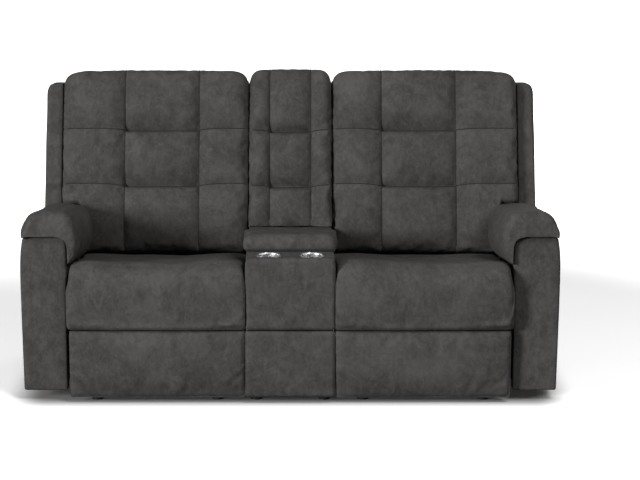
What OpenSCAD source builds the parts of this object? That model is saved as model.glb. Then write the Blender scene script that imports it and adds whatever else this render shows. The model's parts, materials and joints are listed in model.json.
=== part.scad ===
// Power reclining loveseat: two recliner seats with a storage console between them.
// Millimetres, +Z up, the front faces -Y, the floor is z = 0 and x = 0 is the plane of symmetry.
// Parts named left_ lie on the -X side and parts named right_ on the +X side.

/* [Seats] */
// Width of one seat cushion
seat_w = 625; // [600:1:660]
// Gap between the console front and a seat cushion
seat_gap = 4; // [2:0.5:10]
// Gap between a seat cushion and the arm
arm_gap = 12.5; // [8:0.5:18]
// Depth of a seat cushion, front face to rear end
seat_d = 620; // [600:1:626]
// Height of the seat cushion's front crest
seat_h = 514; // [505:1:530]
// Thickness of the seat cushion under its crest
seat_t = 122; // [110:1:130]
// Fall of the seat cushion from its crest to its rear end
seat_fall = 90; // [80:1:98]
// Height of the seat cushion's front lip above the floor
lip_z = 270; // [268:1:285]
// Thickness of the front border that hangs from the seat cushion
border_t = 64; // [50:1:68]
// Width of the seat cushion's sloping shoulder beside the arm
shoulder_w = 67; // [50:1:80]
// Height of the seat frame's boards
seat_frame_h = 97; // [85:1:100]
// Thickness of the frame boards
board_t = 22; // [18:1:24]

/* [Backs] */
// Distance from the front of the seats back to the recline pivot
pivot_set_back = 680; // [670:1:690]
// Height of the recline pivot above the floor
pivot_z = 340; // [335:1:350]
// Tilt of the backs from upright, in degrees
back_tilt = 18.5; // [17:0.1:20]
// Height of a back cushion's crest above the pivot, along the back
back_h = 763; // [740:1:785]
// Height of a back cushion's lower edge above the seat frame, along the back
back_low = 20.5; // [16:0.5:40]
// Thickness of a back cushion
back_t = 127; // [115:1:132]
// Thickness of the back below its cushion, at the top
shell_top_t = 124; // [116:1:130]
// Thickness of the back below its cushion, at its foot
shell_foot_t = 272; // [255:1:276]
// Distance of the back's foot below the pivot, along the back
shell_foot = 56; // [40:1:64]
// Height of the lower sewn tuck above the pivot
low_tuck = 312; // [290:1:330]
// Height of the upper sewn tuck above the pivot
high_tuck = 524; // [505:1:540]
// Distance of the inner upright seam from the cushion's inner edge
inner_seam = 186; // [160:1:210]
// Distance of the outer upright seam from the cushion's outer edge
outer_seam = 235; // [200:1:250]
// Depth of the tucks in the middle column
tuck_depth = 26; // [10:1:34]
// Depth of the upright seams and of the outer tucks
seam_depth = 11; // [4:1:16]
// Width of a wing
wing_w = 66; // [50:1:76]
// Height of a wing above the pivot, along the back
wing_h = 715; // [680:1:735]
// Gap between a back cushion and its wing
wing_gap = 4; // [2:0.5:8]
// Distance that a wing stands back from the cushion's face
wing_set_back = 52; // [40:1:70]
// Thickness of the outer back shell's wall
shell_wall = 14; // [10:1:16]
// Thickness of the outer back shell's side walls
shell_side = 4; // [3:0.5:6]
// Radius about the pivot that the arms keep within
arm_arc = 248; // [240:1:250]
// Running gap between the arms and the backs
arc_gap = 10; // [8:1:14]

/* [Arms] */
// Width of an arm
arm_w = 155; // [145:1:175]
// Height of an arm at its front, under the pad
arm_h = 594; // [585:1:605]
// Length of an arm
arm_len = 780; // [770:1:785]
// Distance of the arm's front behind the front of the seats
arm_set_back = 70; // [64:1:80]
// Fall of the arm's top from front to rear
arm_fall = 100; // [80:1:110]
// Gap under an arm
arm_foot = 38; // [34:1:50]
// Rise of the arm pad above the arm
pad_rise = 91; // [80:1:94]
// Drop of the arm pad down the arm's inner side
pad_drop = 104; // [90:1:112]
// Reach of the arm pad over the seat
pad_reach = 51; // [40:1:53]
// Thickness of the arm's upholstery
cover_t = 8; // [6:1:10]

/* [Console] */
// Width of the console
console_w = 312; // [300:1:340]
// Height of the console's deck
deck_h = 522; // [518:1:526]
// Length of the console box
console_len = 640; // [600:1:660]
// Thickness of the console's front pads
front_pad_t = 34; // [28:1:35]
// Distance of the console pads behind the front of the seats
console_set_back = 20; // [18:1:28]
// Bore of a cup holder
cup_bore = 80; // [70:1:84]
// Diameter of a cup holder's rim
cup_rim = 92; // [88:1:96]
// Depth of a cup holder
cup_depth = 66; // [55:1:80]
// Distance between the two cup holders
cup_spacing = 152; // [130:1:160]
// Distance of the cups behind the front of the seats
cup_set_back = 100; // [94:1:104]
// Length of the console lid
lid_len = 342; // [320:1:350]
// Distance of the lid's front behind the front of the seats
lid_set_back = 158; // [156:1:170]
// Height of the lid above the deck
lid_t = 68; // [60:1:80]
// Fall of the lid's top from front to rear
lid_fall = 38; // [25:1:42]
// Overhang of the lid past the console's sides
lid_over = 9; // [4:1:12]
// Depth of the storage bin
bin_depth = 175; // [120:1:200]

/* [Footrests] */
// Height of a footrest panel
foot_h = 240; // [220:1:242]
// Gap between a footrest panel and the lip of the seat cushion
foot_gap = 8; // [7:1:20]
// Thickness of a footrest pad
foot_pad_t = 35; // [28:1:36]
// Distance of a footrest's face behind the front of the seats
foot_set_back = 15; // [12:1:20]
// Amount that a footrest panel is narrower than the seat cushion
foot_narrow = 8; // [0:1:20]
// Thickness of a footrest board
foot_board_t = 15; // [12:1:18]

/* [Mechanism] */
// Half of the distance between the two link layers of one seat
layer_half = 281; // [278:1:282]
// Thickness of a link
link_t = 4; // [3:0.5:4.5]
// Distance from one link layer to the next
layer_step = 6; // [5.5:0.5:6.5]
// Thickness of a mechanism side plate
plate_t = 5; // [4:0.5:6]
// Width of the straight links
link_w = 15; // [12:1:16]
// Diameter of a link pin
pin_d = 8; // [6:0.5:9]
// Radial clearance of a pin in its hole
pin_fit = 0.06; // [0.02:0.01:0.09]
// Diameter of the drive tube and of the torsion tube
tube_d = 22; // [18:1:24]
// Diameter of the tubes' journals
journal_d = 16; // [12:1:17]
// Diameter of the oversize hole at the open pivot
open_hole_d = 16; // [15:0.5:17]
// Length of the swing link
swing_len = 195; // [190:1:198]
// Radius of the footrest's crank
foot_crank = 90; // [86:1:94]
// Radius of the recline crank
back_crank = 100; // [96:1:104]
// Width of a yoke slot
slot_w = 19; // [18:0.5:20]
// Side of the square cross tubes
cross_tube = 30; // [25:1:32]
// Side of the floor rails
floor_rail = 24; // [20:1:26]
// Wall of the square tubes
tube_wall = 2; // [1.5:0.1:3]
// Height of a glide
glide_h = 22; // [18:1:24]
// Diameter of a glide
glide_d = 40; // [30:1:46]

/* [Controls] */
// Length of a control plate
control_l = 96; // [90:1:110]
// Height of a control plate
control_h = 34; // [30:1:40]
// Length of a rocker switch
rocker_l = 28; // [24:1:30]
// Height of a rocker switch
rocker_h = 18; // [14:1:20]
// Height of the controls above the floor
control_z = 455; // [440:1:470]

/* [Hidden] */
$fn = 48;

fabric = [0.31, 0.31, 0.30];
wood = [0.72, 0.56, 0.38];
steel = [0.30, 0.31, 0.33];
bright_steel = [0.75, 0.76, 0.78];
black = [0.10, 0.10, 0.11];

// Clearance of a soft piece over what carries it
soft = 0.3;
// Gap between boards and bars that are glued, screwed or welded to each other
joint = 0.05;

// Points of the outer back shell, as distance behind the frame plane and height along the back
shell_waist = 308;
shell_waist_t = 163;
shell_outline = [
    [0, back_h - 9], [shell_top_t * 0.5, back_h + 9], [shell_top_t - 16, back_h + 19],
    [shell_top_t - 4, back_h + 14], [shell_top_t, back_h + 2],
    [shell_waist_t, shell_waist], [shell_foot_t, -shell_foot]
];
function back_reach_of(p) = p[0] * cos(back_tilt) + p[1] * sin(back_tilt);
back_reach = max([for (p = shell_outline) back_reach_of(p)]);
// The origin is in the middle of the whole depth
fy = -(pivot_set_back + back_reach) / 2;
py = fy + pivot_set_back;

console_half = console_w / 2;
seat_x0 = console_half + seat_gap;
seat_x1 = seat_x0 + seat_w;
arm_x0 = seat_x1 + arm_gap;
arm_x1 = arm_x0 + arm_w;
seat_xc = (seat_x0 + seat_x1) / 2;
seat_base = seat_h - seat_t;
frame_top = seat_base - soft;
frame_low = frame_top - seat_frame_h;
back_foot = (frame_top - pivot_z) / cos(back_tilt) + back_low;
wing_x1 = arm_x1 - 20;
wing_x0 = wing_x1 - wing_w;
back_x0 = seat_x0;
back_x1 = wing_x0 - wing_gap;
back_step = arm_x0 - 7.5;
back_arc = arm_arc + arc_gap;
box_half = console_half - 6;
box_front = fy + console_set_back + front_pad_t;
arm_y0 = fy + arm_set_back;
arm_y1 = arm_y0 + arm_len;
foot_z1 = lip_z - foot_gap;
foot_z0 = foot_z1 - foot_h;
foot_x1 = seat_x1 - foot_narrow;
foot_face = fy + foot_set_back;
foot_rear = foot_face + foot_pad_t;
board_rear = foot_rear + foot_board_t;
rail_z0 = glide_h;
cross_z0 = rail_z0 + floor_rail + joint;
cross_z1 = cross_z0 + cross_tube;

lid_front = fy + lid_set_back;
lid_rear = lid_front + lid_len;
bin_half = console_half - 30;
bin_y0 = lid_front + 24;
bin_y1 = lid_rear - 34;

// Pivots of the footrest linkage, at rest, as [y, z]
drive = [fy + 120, 245];
swing_end = drive + [0, -swing_len];
board_pivot = swing_end + [-37, 173];
carrier_off = [6, 34.5];
carrier_low = swing_end + carrier_off;
carrier_top = board_pivot + carrier_off;
tail_end = swing_end + [39.5, -6];
control_root = drive + [61, 17];
control_knee = drive + [101, -37];
recline = [py, pivot_z];

// Link layers, outward from the seat's middle
layer_plate = layer_half + 10;
layer_carrier = layer_half + layer_step - 2;
layer_swing = layer_half - 2;
layer_extension = layer_swing - layer_step;
layer_control = layer_extension - layer_step;

function lerp(a, b, t) = a + (b - a) * t;
function clamp(t) = min(1, max(0, t));
function rounding(t) = 1 - sqrt(1 - pow(clamp(t), 2));
function bump(t) = exp(-t * t);
// How far x lies within r of either end of a span, from 0 to 1
function edge(x, x0, x1, r) = clamp(max((x0 + r - x) / r, (x - x1 + r) / r));

// A flat outline in [y, z], extruded from x0 to x1
module slab(x0, x1, outline) {
    translate([x0, 0, 0])
        rotate([90, 0, 90])
            linear_extrude(x1 - x0)
                polygon(outline);
}

module block(x0, x1, y0, y1, z0, z1) {
    translate([x0, y0, z0])
        cube([x1 - x0, y1 - y0, z1 - z0]);
}

// A cylinder along X through a [y, z] point
module x_pin(x0, x1, at, d) {
    translate([x0, at[0], at[1]])
        rotate([0, 90, 0])
            cylinder(d = d, h = x1 - x0);
}

// A flat link in the plane of [y, z]: round eyes at its spots, joined by straight bars.
// The bars are narrower than the eyes by neck.
neck = 3;
module link(x0, x1, spots, eyes) {
    last = len(spots) - 1;
    translate([x0, 0, 0])
        rotate([90, 0, 90])
            linear_extrude(x1 - x0)
                union() {
                    for (i = [0 : last])
                        translate(spots[i])
                            circle(d = eyes[i]);
                    for (i = [0 : last - 1]) {
                        span = spots[i + 1] - spots[i];
                        w = min(eyes[i], eyes[i + 1]) - neck;
                        translate(spots[i])
                            rotate(atan2(span[1], span[0]))
                                translate([0, -w / 2])
                                    square([norm(span), w]);
                    }
                }
}

// An upright slot with round ends, between two heights
module slot_cut(x0, x1, y, z0, z1, w) {
    block(x0, x1, y - w / 2, y + w / 2, z0, z1);
    x_pin(x0, x1, [y, z0], w);
    x_pin(x0, x1, [y, z1], w);
}

module square_tube_x(x0, x1, y0, z0) {
    difference() {
        block(x0, x1, y0, y0 + cross_tube, z0, z0 + cross_tube);
        block(x0 - 1, x1 + 1, y0 + tube_wall, y0 + cross_tube - tube_wall,
              z0 + tube_wall, z0 + cross_tube - tube_wall);
    }
}

// Places a piece that is drawn about the recline pivot, leaning with the back
module on_back() {
    translate([0, py, pivot_z])
        rotate([-back_tilt, 0, 0])
            children();
}

module left() {
    mirror([1, 0, 0])
        children();
}

// A skin through rings of points. Each ring is an outer chain and an inner chain,
// both running the same way, and the two end caps are strips between the chains.
module loft(outer, inner) {
    rings = len(outer);
    k = len(outer[0]);
    q = len(inner[0]);
    m = k + q;
    points = [
        for (i = [0 : rings - 1])
            each concat(outer[i], [for (j = [q - 1 : -1 : 0]) inner[i][j]])
    ];
    function partner(j) = m - 1 - round(j * (q - 1) / (k - 1));
    function cap(base) = [
        for (j = [0 : k - 2])
            each concat(
                [[base + j, base + j + 1, base + partner(j)]],
                partner(j + 1) == partner(j) ? []
                    : [[base + j + 1, base + partner(j + 1), base + partner(j)]]
            )
    ];
    side = [
        for (i = [0 : rings - 2], j = [0 : m - 1])
            each [
                [i * m + j, (i + 1) * m + j, i * m + (j + 1) % m],
                [i * m + (j + 1) % m, (i + 1) * m + j, (i + 1) * m + (j + 1) % m]
            ]
    ];
    first = cap(0);
    last = [for (f = cap((rings - 1) * m)) [f[0], f[2], f[1]]];
    faces = concat(side, first, last);
    polyhedron(points, [for (f = faces) [f[0], f[2], f[1]]]);
}

// A padded panel that stands upright: flat at the back, crowned at the front
module padded_panel(x0, x1, z0, z1, front, back, r) {
    spots = [0, 0.12, 0.45, 1];
    xs = concat(
        [for (s = spots) x0 + s * r],
        [for (t = [0.25, 0.5, 0.75]) lerp(x0 + r, x1 - r, t)],
        [for (i = [3 : -1 : 0]) x1 - spots[i] * r]
    );
    zm = (z0 + z1) / 2;
    function ring(x) = let (
        e = rounding(edge(x, x0, x1, r)),
        lo = z0 + 0.7 * r * e,
        hi = z1 - 0.7 * r * e,
        f = lerp(front, back, 0.62 * e)
    ) [
        [x, back - 0.3, lo + 5], [x, lerp(back, f, 0.45), lo], [x, lerp(back, f, 0.8), lo + 4],
        [x, f + 2, lo + r * 0.8], [x, f, zm], [x, f + 2, hi - r * 0.8],
        [x, lerp(back, f, 0.8), hi - 4], [x, lerp(back, f, 0.45), hi], [x, back - 0.3, hi - 5]
    ];
    outer = [for (x = xs) ring(x)];
    inner = [for (p = outer) [
        [p[0][0], back, p[0][2] + 4], [p[0][0], back, zm], [p[0][0], back, p[8][2] - 4]
    ]];
    loft(outer, inner);
}

// Arms
arm_slope = arm_fall / arm_len;
function arm_top(y) = arm_h - arm_slope * (y - arm_y0);
function arm_outline(out) = [
    [arm_y0 - out, arm_foot], [arm_y0 - out, arm_top(arm_y0 - out)],
    [arm_y1 + out, arm_top(arm_y1 + out)], [arm_y1 + out, arm_foot]
];

// Front outline of the arm in [x, z]; its outer side swells below the pad
module arm_front(inset) {
    h = arm_h + 20;
    polygon([
        [arm_x0 + inset, 0], [arm_x0 + inset, h], [arm_x1 - 22 - inset, h],
        [arm_x1 - 22 - inset, arm_h], [arm_x1 - 7 - inset, arm_h - 50],
        [arm_x1 - 1 - inset, arm_h - 95], [arm_x1 - inset, arm_h - 145],
        [arm_x1 - 1 - inset, arm_h - 200], [arm_x1 - 4 - inset, arm_h - 290],
        [arm_x1 - 8 - inset, arm_h - 430], [arm_x1 - 11 - inset, 0]
    ]);
}

module arm_prism(inset) {
    intersection() {
        translate([0, arm_y1 + 50, 0])
            rotate([90, 0, 0])
                linear_extrude(arm_len + 100)
                    arm_front(inset);
        slab(arm_x0 - 1, arm_x1 + 1, arm_outline(-inset));
    }
}

control_y = arm_y0 + 200;

module arm_panel() {
    color(fabric)
        difference() {
            arm_prism(0);
            intersection() {
                translate([0, arm_y1 + 50, 0])
                    rotate([90, 0, 0])
                        linear_extrude(arm_len + 100)
                            arm_front(cover_t);
                slab(arm_x0, arm_x1, [
                    [arm_y0 + cover_t + 4, 0], [arm_y0 + cover_t + 4, arm_h + 99],
                    [arm_y1 - cover_t, arm_h + 99], [arm_y1 - cover_t, 0]
                ]);
            }
            block(arm_x1 - cover_t - 12, arm_x1 + 5, control_y - control_l / 2,
                  control_y + control_l / 2, control_z - control_h / 2, control_z + control_h / 2);
        }
}

// Plywood side board with posts and rails that stand out from it
arm_bay_count = 4;
module arm_frame() {
    x0 = arm_x0 + cover_t;
    x1 = arm_x1 - 40;
    y0 = arm_y0 + cover_t + 4;
    y1 = arm_y1 - cover_t;
    side_t = 15;
    post_step = (y1 - y0 - board_t) / arm_bay_count;
    color(wood) {
        slab(x0, x0 + side_t, [
            [y0, arm_foot], [y0, arm_top(y0)], [y1, arm_top(y1)], [y1, arm_foot]
        ]);
        for (i = [0 : arm_bay_count]) {
            y = y0 + i * post_step;
            low = arm_foot + board_t + joint;
            slab(x0 + side_t + joint, x1, [
                [y, low], [y, arm_top(y) - side_t - joint],
                [y + board_t, arm_top(y + board_t) - side_t - joint], [y + board_t, low]
            ]);
        }
        slab(x0 + side_t + joint, x1, [
            [y0, arm_foot], [y0, arm_foot + board_t], [y1, arm_foot + board_t], [y1, arm_foot]
        ]);
        slab(x0 + side_t + joint, x1, [
            [y0, arm_top(y0) - side_t], [y0, arm_top(y0)],
            [y1, arm_top(y1)], [y1, arm_top(y1) - side_t]
        ]);
    }
}

// Pillow over the arm: it hangs down the inner side in front of the back, and thins over the arc
pad_y0 = arm_y0 - 16;
pad_y1 = arm_y1 - 12;
pad_hang_end = py - 140;
function pad_crest(y) = let (
    line = arm_h + pad_rise - arm_slope * (y - arm_y0),
    arc = pivot_z + sqrt(max(0, pow(arm_arc, 2) - pow(y - py, 2)))
) y < py - 60 ? line : min(line, arc);

function pad_ring(y) = let (
    zs = arm_top(y) + soft,
    rise = pad_crest(y) - zs,
    hang = clamp((pad_hang_end + 54 - y) / 14),
    fall = clamp((pad_hang_end + 38 - y) / 38),
    e = 0.5 * rounding(edge(y, pad_y0, pad_y1, 26)),
    full = [
        [arm_x1 - 10, 3], [arm_x1 - 2.5, 0.24 * rise], [arm_x1 - 7, 0.6 * rise],
        [arm_x1 - 27, 0.86 * rise], [arm_x1 - 62, 0.98 * rise], [arm_x1 - 102, rise],
        [arm_x0 + 12, 0.92 * rise],
        [lerp(arm_x0 + 5, arm_x0 - 20, hang), 0.72 * rise],
        [lerp(arm_x0 + 2, arm_x0 - 0.84 * pad_reach, hang), lerp(0.5, 0.4, fall) * rise],
        [lerp(arm_x0 + 1, arm_x0 - pad_reach, hang), lerp(0.32 * rise, -5, fall)],
        [lerp(arm_x0 + 1, arm_x0 - 0.96 * pad_reach, hang), lerp(0.2 * rise, -0.48 * pad_drop, fall)],
        [lerp(arm_x0 + 1, arm_x0 - 0.76 * pad_reach, hang), lerp(0.1 * rise, -0.82 * pad_drop, fall)],
        [lerp(arm_x0 + 1, arm_x0 - 0.42 * pad_reach, hang), lerp(0.05 * rise, -0.98 * pad_drop, fall)],
        [lerp(arm_x0 + 1, arm_x0 - 6, hang), lerp(1.5, -pad_drop, fall)]
    ],
    under = [
        [arm_x1 - 16, 0], [arm_x1 - 60, 0], [arm_x0 + 50, 0],
        [lerp(arm_x0 + 12, arm_x0 - soft, hang), 0],
        [lerp(arm_x0 + 8, arm_x0 - soft, hang), lerp(0, -0.5 * pad_drop, fall)],
        [lerp(arm_x0 + 4, arm_x0 - 1, hang), lerp(0, -0.96 * pad_drop, fall)]
    ]
) [
    [for (j = [0 : 13]) let (u = under[round(j * 5 / 13)], p = lerp(full[j], u, e)) [p[0], y, zs + p[1]]],
    [for (u = under) [u[0], y, zs + u[1]]]
];

module arm_pad() {
    ys = concat(
        [for (t = [0, 0.12, 0.45, 1]) pad_y0 + 26 * t],
        [for (t = [0.25, 0.5, 0.78]) lerp(pad_y0 + 26, pad_hang_end, t)],
        [pad_hang_end, pad_hang_end + 14, pad_hang_end + 27, pad_hang_end + 38, pad_hang_end + 54],
        [py - 58, py, py + 60, pad_y1 - 50],
        [for (t = [1, 0.45, 0.12, 0]) pad_y1 - 26 * t]
    );
    rings = [for (y = ys) pad_ring(y)];
    color(fabric)
        loft([for (r = rings) r[0]], [for (r = rings) r[1]]);
}

// Steel that stands on the floor and carries the two seats
cross_front = fy + 355;
cross_rear = py - 55;
rail_off = 214;
plate_foot = cross_z1 + joint;
function plate_outline() = [
    [drive[0] - 24, drive[1] - 19], [drive[0] - 24, drive[1] + 22], [drive[0] + 40, frame_low + 35],
    [py - 100, frame_low + 35], [py - 28, pivot_z + 20], [py - 14, pivot_z + 31],
    [py + 14, pivot_z + 31], [py + 30, pivot_z + 16], [py + 32, pivot_z - 20],
    [cross_rear + cross_tube + 12, pivot_z - 90], [cross_rear + cross_tube, plate_foot],
    [cross_rear, plate_foot], [cross_rear - 30, drive[1] - 28],
    [cross_front + cross_tube + 30, drive[1] - 28], [cross_front + cross_tube, plate_foot],
    [cross_front, plate_foot], [cross_front - 20, drive[1] - 28], [drive[0] + 50, drive[1] - 28]
];

module side_plate(x0, inward) {
    difference() {
        slab(x0, x0 + plate_t, plate_outline());
        x_pin(x0 - 1, x0 + plate_t + 1, drive, journal_d + 2 * pin_fit);
        x_pin(x0 - 1, x0 + plate_t + 1, recline, journal_d + 2 * pin_fit);
    }
    reach = layer_plate - layer_control + link_t;
    if (inward > 0)
        x_pin(x0 - reach, x0 - joint, control_root, pin_d);
    else
        x_pin(x0 + plate_t + joint, x0 + plate_t + reach, control_root, pin_d);
}

module seat_base_right() {
    for (s = [-1, 1])
        translate([seat_xc + s * rail_off - floor_rail / 2, arm_y0 + 20, rail_z0])
            difference() {
                cube([floor_rail, py + 90 - arm_y0 - 20, floor_rail]);
                translate([tube_wall, -1, tube_wall])
                    cube([floor_rail - 2 * tube_wall, 999, floor_rail - 2 * tube_wall]);
            }
    square_tube_x(box_half, arm_x0, cross_front, cross_z0);
    square_tube_x(box_half, arm_x0, cross_rear, cross_z0);
    side_plate(seat_xc + layer_plate, 1);
    side_plate(seat_xc - layer_plate - plate_t, -1);
}

module mechanism_base() {
    color(steel) {
        seat_base_right();
        left()
            seat_base_right();
    }
}

glide_front = arm_y0 + 35;
glide_rear = py + 60;
console_glides = [glide_front, box_front + console_len - 34];
module glide(x, y) {
    translate([x, y, 0]) {
        cylinder(d = glide_d, h = glide_h - 6);
        cylinder(d = glide_d * 0.5, h = glide_h);
    }
}

module glides() {
    color(black)
        for (s = [-1, 1]) {
            for (x = [seat_xc - rail_off, seat_xc + rail_off], y = [glide_front, glide_rear])
                glide(s * x, y);
            for (y = console_glides)
                glide(s * (box_half - 29), y);
        }
}

// Seat frames, springs and cushions
rail_front = fy + border_t + soft;
rear_board = py - 78;
module seat_frame() {
    half = layer_plate;
    color(wood) {
        block(seat_xc - half, seat_xc + half, rail_front, rail_front + board_t,
              frame_low - 10, frame_top);
        for (s = [-1, 1])
            translate([seat_xc + s * (half - board_t / 2), 0, 0])
                block(-board_t / 2, board_t / 2, rail_front + board_t + joint, rear_board + board_t,
                      frame_low, frame_top);
        inner = half - board_t - joint;
        block(seat_xc - inner, seat_xc + inner, rear_board, rear_board + board_t,
              frame_low + 35, frame_top);
    }
}

spring_wire = 4;
spring_count = 4;
spring_half = 24;
spring_pitch = 24;
module seat_spring(x) {
    y0 = rail_front + board_t;
    y1 = rear_board;
    n = floor((y1 - y0) / spring_pitch);
    step = (y1 - y0) / n;
    translate([x, 0, frame_top - 8])
        linear_extrude(spring_wire)
            union() {
                for (i = [0 : n - 1]) {
                    s = i % 2 == 0 ? 1 : -1;
                    first = i == 0 ? 0 : -spring_half;
                    last = i == n - 1 ? 0 : spring_half;
                    translate([s > 0 ? spring_half - spring_wire : -spring_half, y0 + i * step])
                        square([spring_wire, step]);
                    if (i > 0)
                        translate([-spring_half, y0 + i * step - spring_wire / 2])
                            square([2 * spring_half, spring_wire]);
                }
            }
}

module seat_springs() {
    span = 2 * (layer_plate - board_t);
    color(bright_steel)
        for (side = [-1, 1], i = [0 : spring_count - 1])
            seat_spring(side * seat_xc + span * ((i + 0.5) / spring_count - 0.5));
}

module seat_cushion() {
    crest = fy + 95;
    rear = fy + seat_d;
    slope = seat_fall / (seat_d - 95);
    xs = concat(
        [for (t = [0, 0.12, 0.45, 1]) seat_x0 + 20 * t],
        [for (t = [0.2, 0.42, 0.64, 0.86]) lerp(seat_x0 + 20, seat_x1 - shoulder_w, t)],
        [for (t = [0, 0.2, 0.45, 0.68, 0.86, 0.97, 1]) seat_x1 - shoulder_w * (1 - t)]
    );
    function shoulder(x) = 0.9 * pow(clamp((x - seat_x1 + shoulder_w) / shoulder_w), 1.7);
    function drop(x) = max(shoulder(x), 0.16 * rounding((seat_x0 + 20 - x) / 20));
    function sink(x, z) = seat_base + (z - seat_base) * (1 - drop(x));
    function front(x, y) = y + 9 * rounding(edge(x, seat_x0, seat_x1, 20))
                         + 5 * bump((x - lerp(seat_x0, seat_x1, 0.58)) / 60);
    function crown(x) = 5 * sin(180 * (x - seat_x0) / seat_w) - 5;
    arc_h = seat_h - seat_base - 12;
    function ring(x) = concat(
        [[x, front(x, fy + 22), lip_z], [x, front(x, fy + 8), lip_z + 22],
         [x, front(x, fy + 2), lip_z + 66]],
        [for (a = [0 : 18 : 90]) [
            x, lerp(front(x, crest), crest, sin(a)) - 95 * cos(a),
            sink(x, seat_base + 12 + arc_h * sin(a) + crown(x) * sin(a))
        ]],
        [for (t = [0.3, 0.6, 0.96]) [x, lerp(crest, rear, t), sink(x, seat_h + crown(x) - slope * t * (rear - crest))]],
        [[x, rear, sink(x, seat_h - seat_fall - 14)]]
    );
    function under(x) = [
        [x, fy + border_t - 2, lip_z], [x, fy + border_t, lip_z + 40],
        [x, fy + border_t, seat_base], [x, fy + seat_d * 0.5, seat_base],
        [x, rear, seat_base]
    ];
    color(fabric)
        loft([for (x = xs) ring(x)], [for (x = xs) under(x)]);
}

// Backs
// Face of a back cushion: how far it is drawn in at x and height w
function tucks(x, w, s0, s1) =
    let (
        middle = clamp(0.5 + (x - s0) / 24) * clamp(0.5 + (s1 - x) / 24),
        row = bump((w - low_tuck) / 15) + bump((w - high_tuck) / 15),
        column = bump((x - s0) / 13) + bump((x - s1) / 13)
    ) max(lerp(seam_depth, tuck_depth, middle) * row, seam_depth * column);

// Rings of a back cushion. Below foot(v), a height along the back, the ring follows foot instead.
module back_form(xs, x0, x1, s0, s1, low, foot_radius, step) {
    face = concat(
        [for (t = [0.04, 0.35, 0.68]) lerp(low + 22, low_tuck - 28, t)],
        [for (d = [-28, -10, 0, 10, 28]) low_tuck + d],
        [for (t = [0.33, 0.67]) lerp(low_tuck + 28, high_tuck - 28, t)],
        [for (d = [-28, -10, 0, 10, 28]) high_tuck + d],
        [for (t = [0.3, 0.6, 0.82]) lerp(high_tuck + 28, back_h - 30, t)]
    );
    heights = concat([low, low - 2, low + 4], face);
    function top(x) = back_h - 26 * rounding(edge(x, x0, x1, 45));
    function inset(x) = 34 * rounding(edge(x, x0, x1, 36));
    function raised(x) = x > step;
    function foot_w(v) = raised(x1) && foot_radius > 0 ? sqrt(pow(foot_radius, 2) - v * v) : 0;
    function low_v(j) = [-10, -64, -106][j];
    function face_v(x, w) = -back_t + inset(x) + tucks(x, w, s0, s1)
        + 12 * bump((w - low) / 40) + 16 * bump((w - back_h) / 70);
    function chain(x) = concat(
        [for (j = [0 : len(heights) - 1]) let (
            w0 = heights[j],
            v0 = j < 3 ? low_v(j) * (1 - inset(x) / back_t) : face_v(x, w0),
            w1 = w0 + (top(x) - back_h) * clamp((w0 - high_tuck) / (back_h - high_tuck)),
            blocked = x > step && w0 < foot_radius - 20,
            v2 = -4 - (back_t - inset(x) - 12) * (j + 0.4) / 6,
            w2 = foot_w(v2) + 1
        ) blocked ? [x, v2, w2] : [x, v0, w1]],
        [[x, -back_t + 26 + inset(x) * 0.8, top(x) - 8], [x, -back_t * 0.58, top(x)],
         [x, -back_t * 0.25, top(x) - 5]]
    );
    function rear(x) = [for (w = [low + 6, lerp(low, back_h, 0.3), lerp(low, back_h, 0.6), top(x) - 14])
        [x, -soft, x > step ? max(w, foot_radius + 2 + w * 0.01) : w]];
    loft([for (x = xs) chain(x)], [for (x = xs) rear(x)]);
}

module back_cushion() {
    s0 = back_x0 + inner_seam;
    s1 = back_x1 - outer_seam;
    xs = concat(
        [for (t = [0, 0.1, 0.4, 1]) back_x0 + 36 * t],
        [lerp(back_x0 + 36, s0 - 24, 0.5)],
        [for (d = [-24, -10, 0, 10, 24]) s0 + d],
        [for (t = [0.33, 0.67]) lerp(s0 + 24, s1 - 24, t)],
        [for (d = [-24, -10, 0, 10, 24]) s1 + d],
        [lerp(s1 + 24, back_step, 0.5), back_step, back_step + 1.5],
        [for (t = [1, 0.4, 0.1, 0]) back_x1 - 36 * t]
    );
    color(fabric)
        on_back()
            back_form(xs, back_x0, back_x1, s0, s1, back_foot, back_arc + 2, back_step);
}

// The back's brackets run just inside the side plates
carrier_half = layer_plate - 1;

// Frame inside a back: side boards, a short outrigger board and slats
slat_ws = [110, 262, 400, 540, 680];
slat_h = 46;
function frame_side(w0) = [[0, w0], [0, back_h - 26], [96, back_h - 14], [140, shell_waist], [140, w0 + 30]];
module back_frame() {
    inner = seat_xc - carrier_half - 15;
    outer = seat_xc + carrier_half;
    reach_x = back_x1 - 17;
    color(wood)
        on_back() {
            slab(inner, inner + 15, frame_side(50));
            slab(outer, outer + 15, frame_side(50));
            slab(reach_x, reach_x + 15, [
                [0, back_arc + 4], [0, back_h - 26], [96, back_h - 14], [96, back_arc + 4]
            ]);
            for (w = slat_ws)
                block(inner + 15 + joint, outer - joint, 0, board_t, w, w + slat_h);
            for (w = [slat_ws[2], slat_ws[4]])
                block(outer + 15 + joint, reach_x - joint, 0, board_t, w, w + slat_h);
        }
}

crank_pin_d = 12;
back_crank_end = recline + back_crank * [0.3, -0.954];
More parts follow.
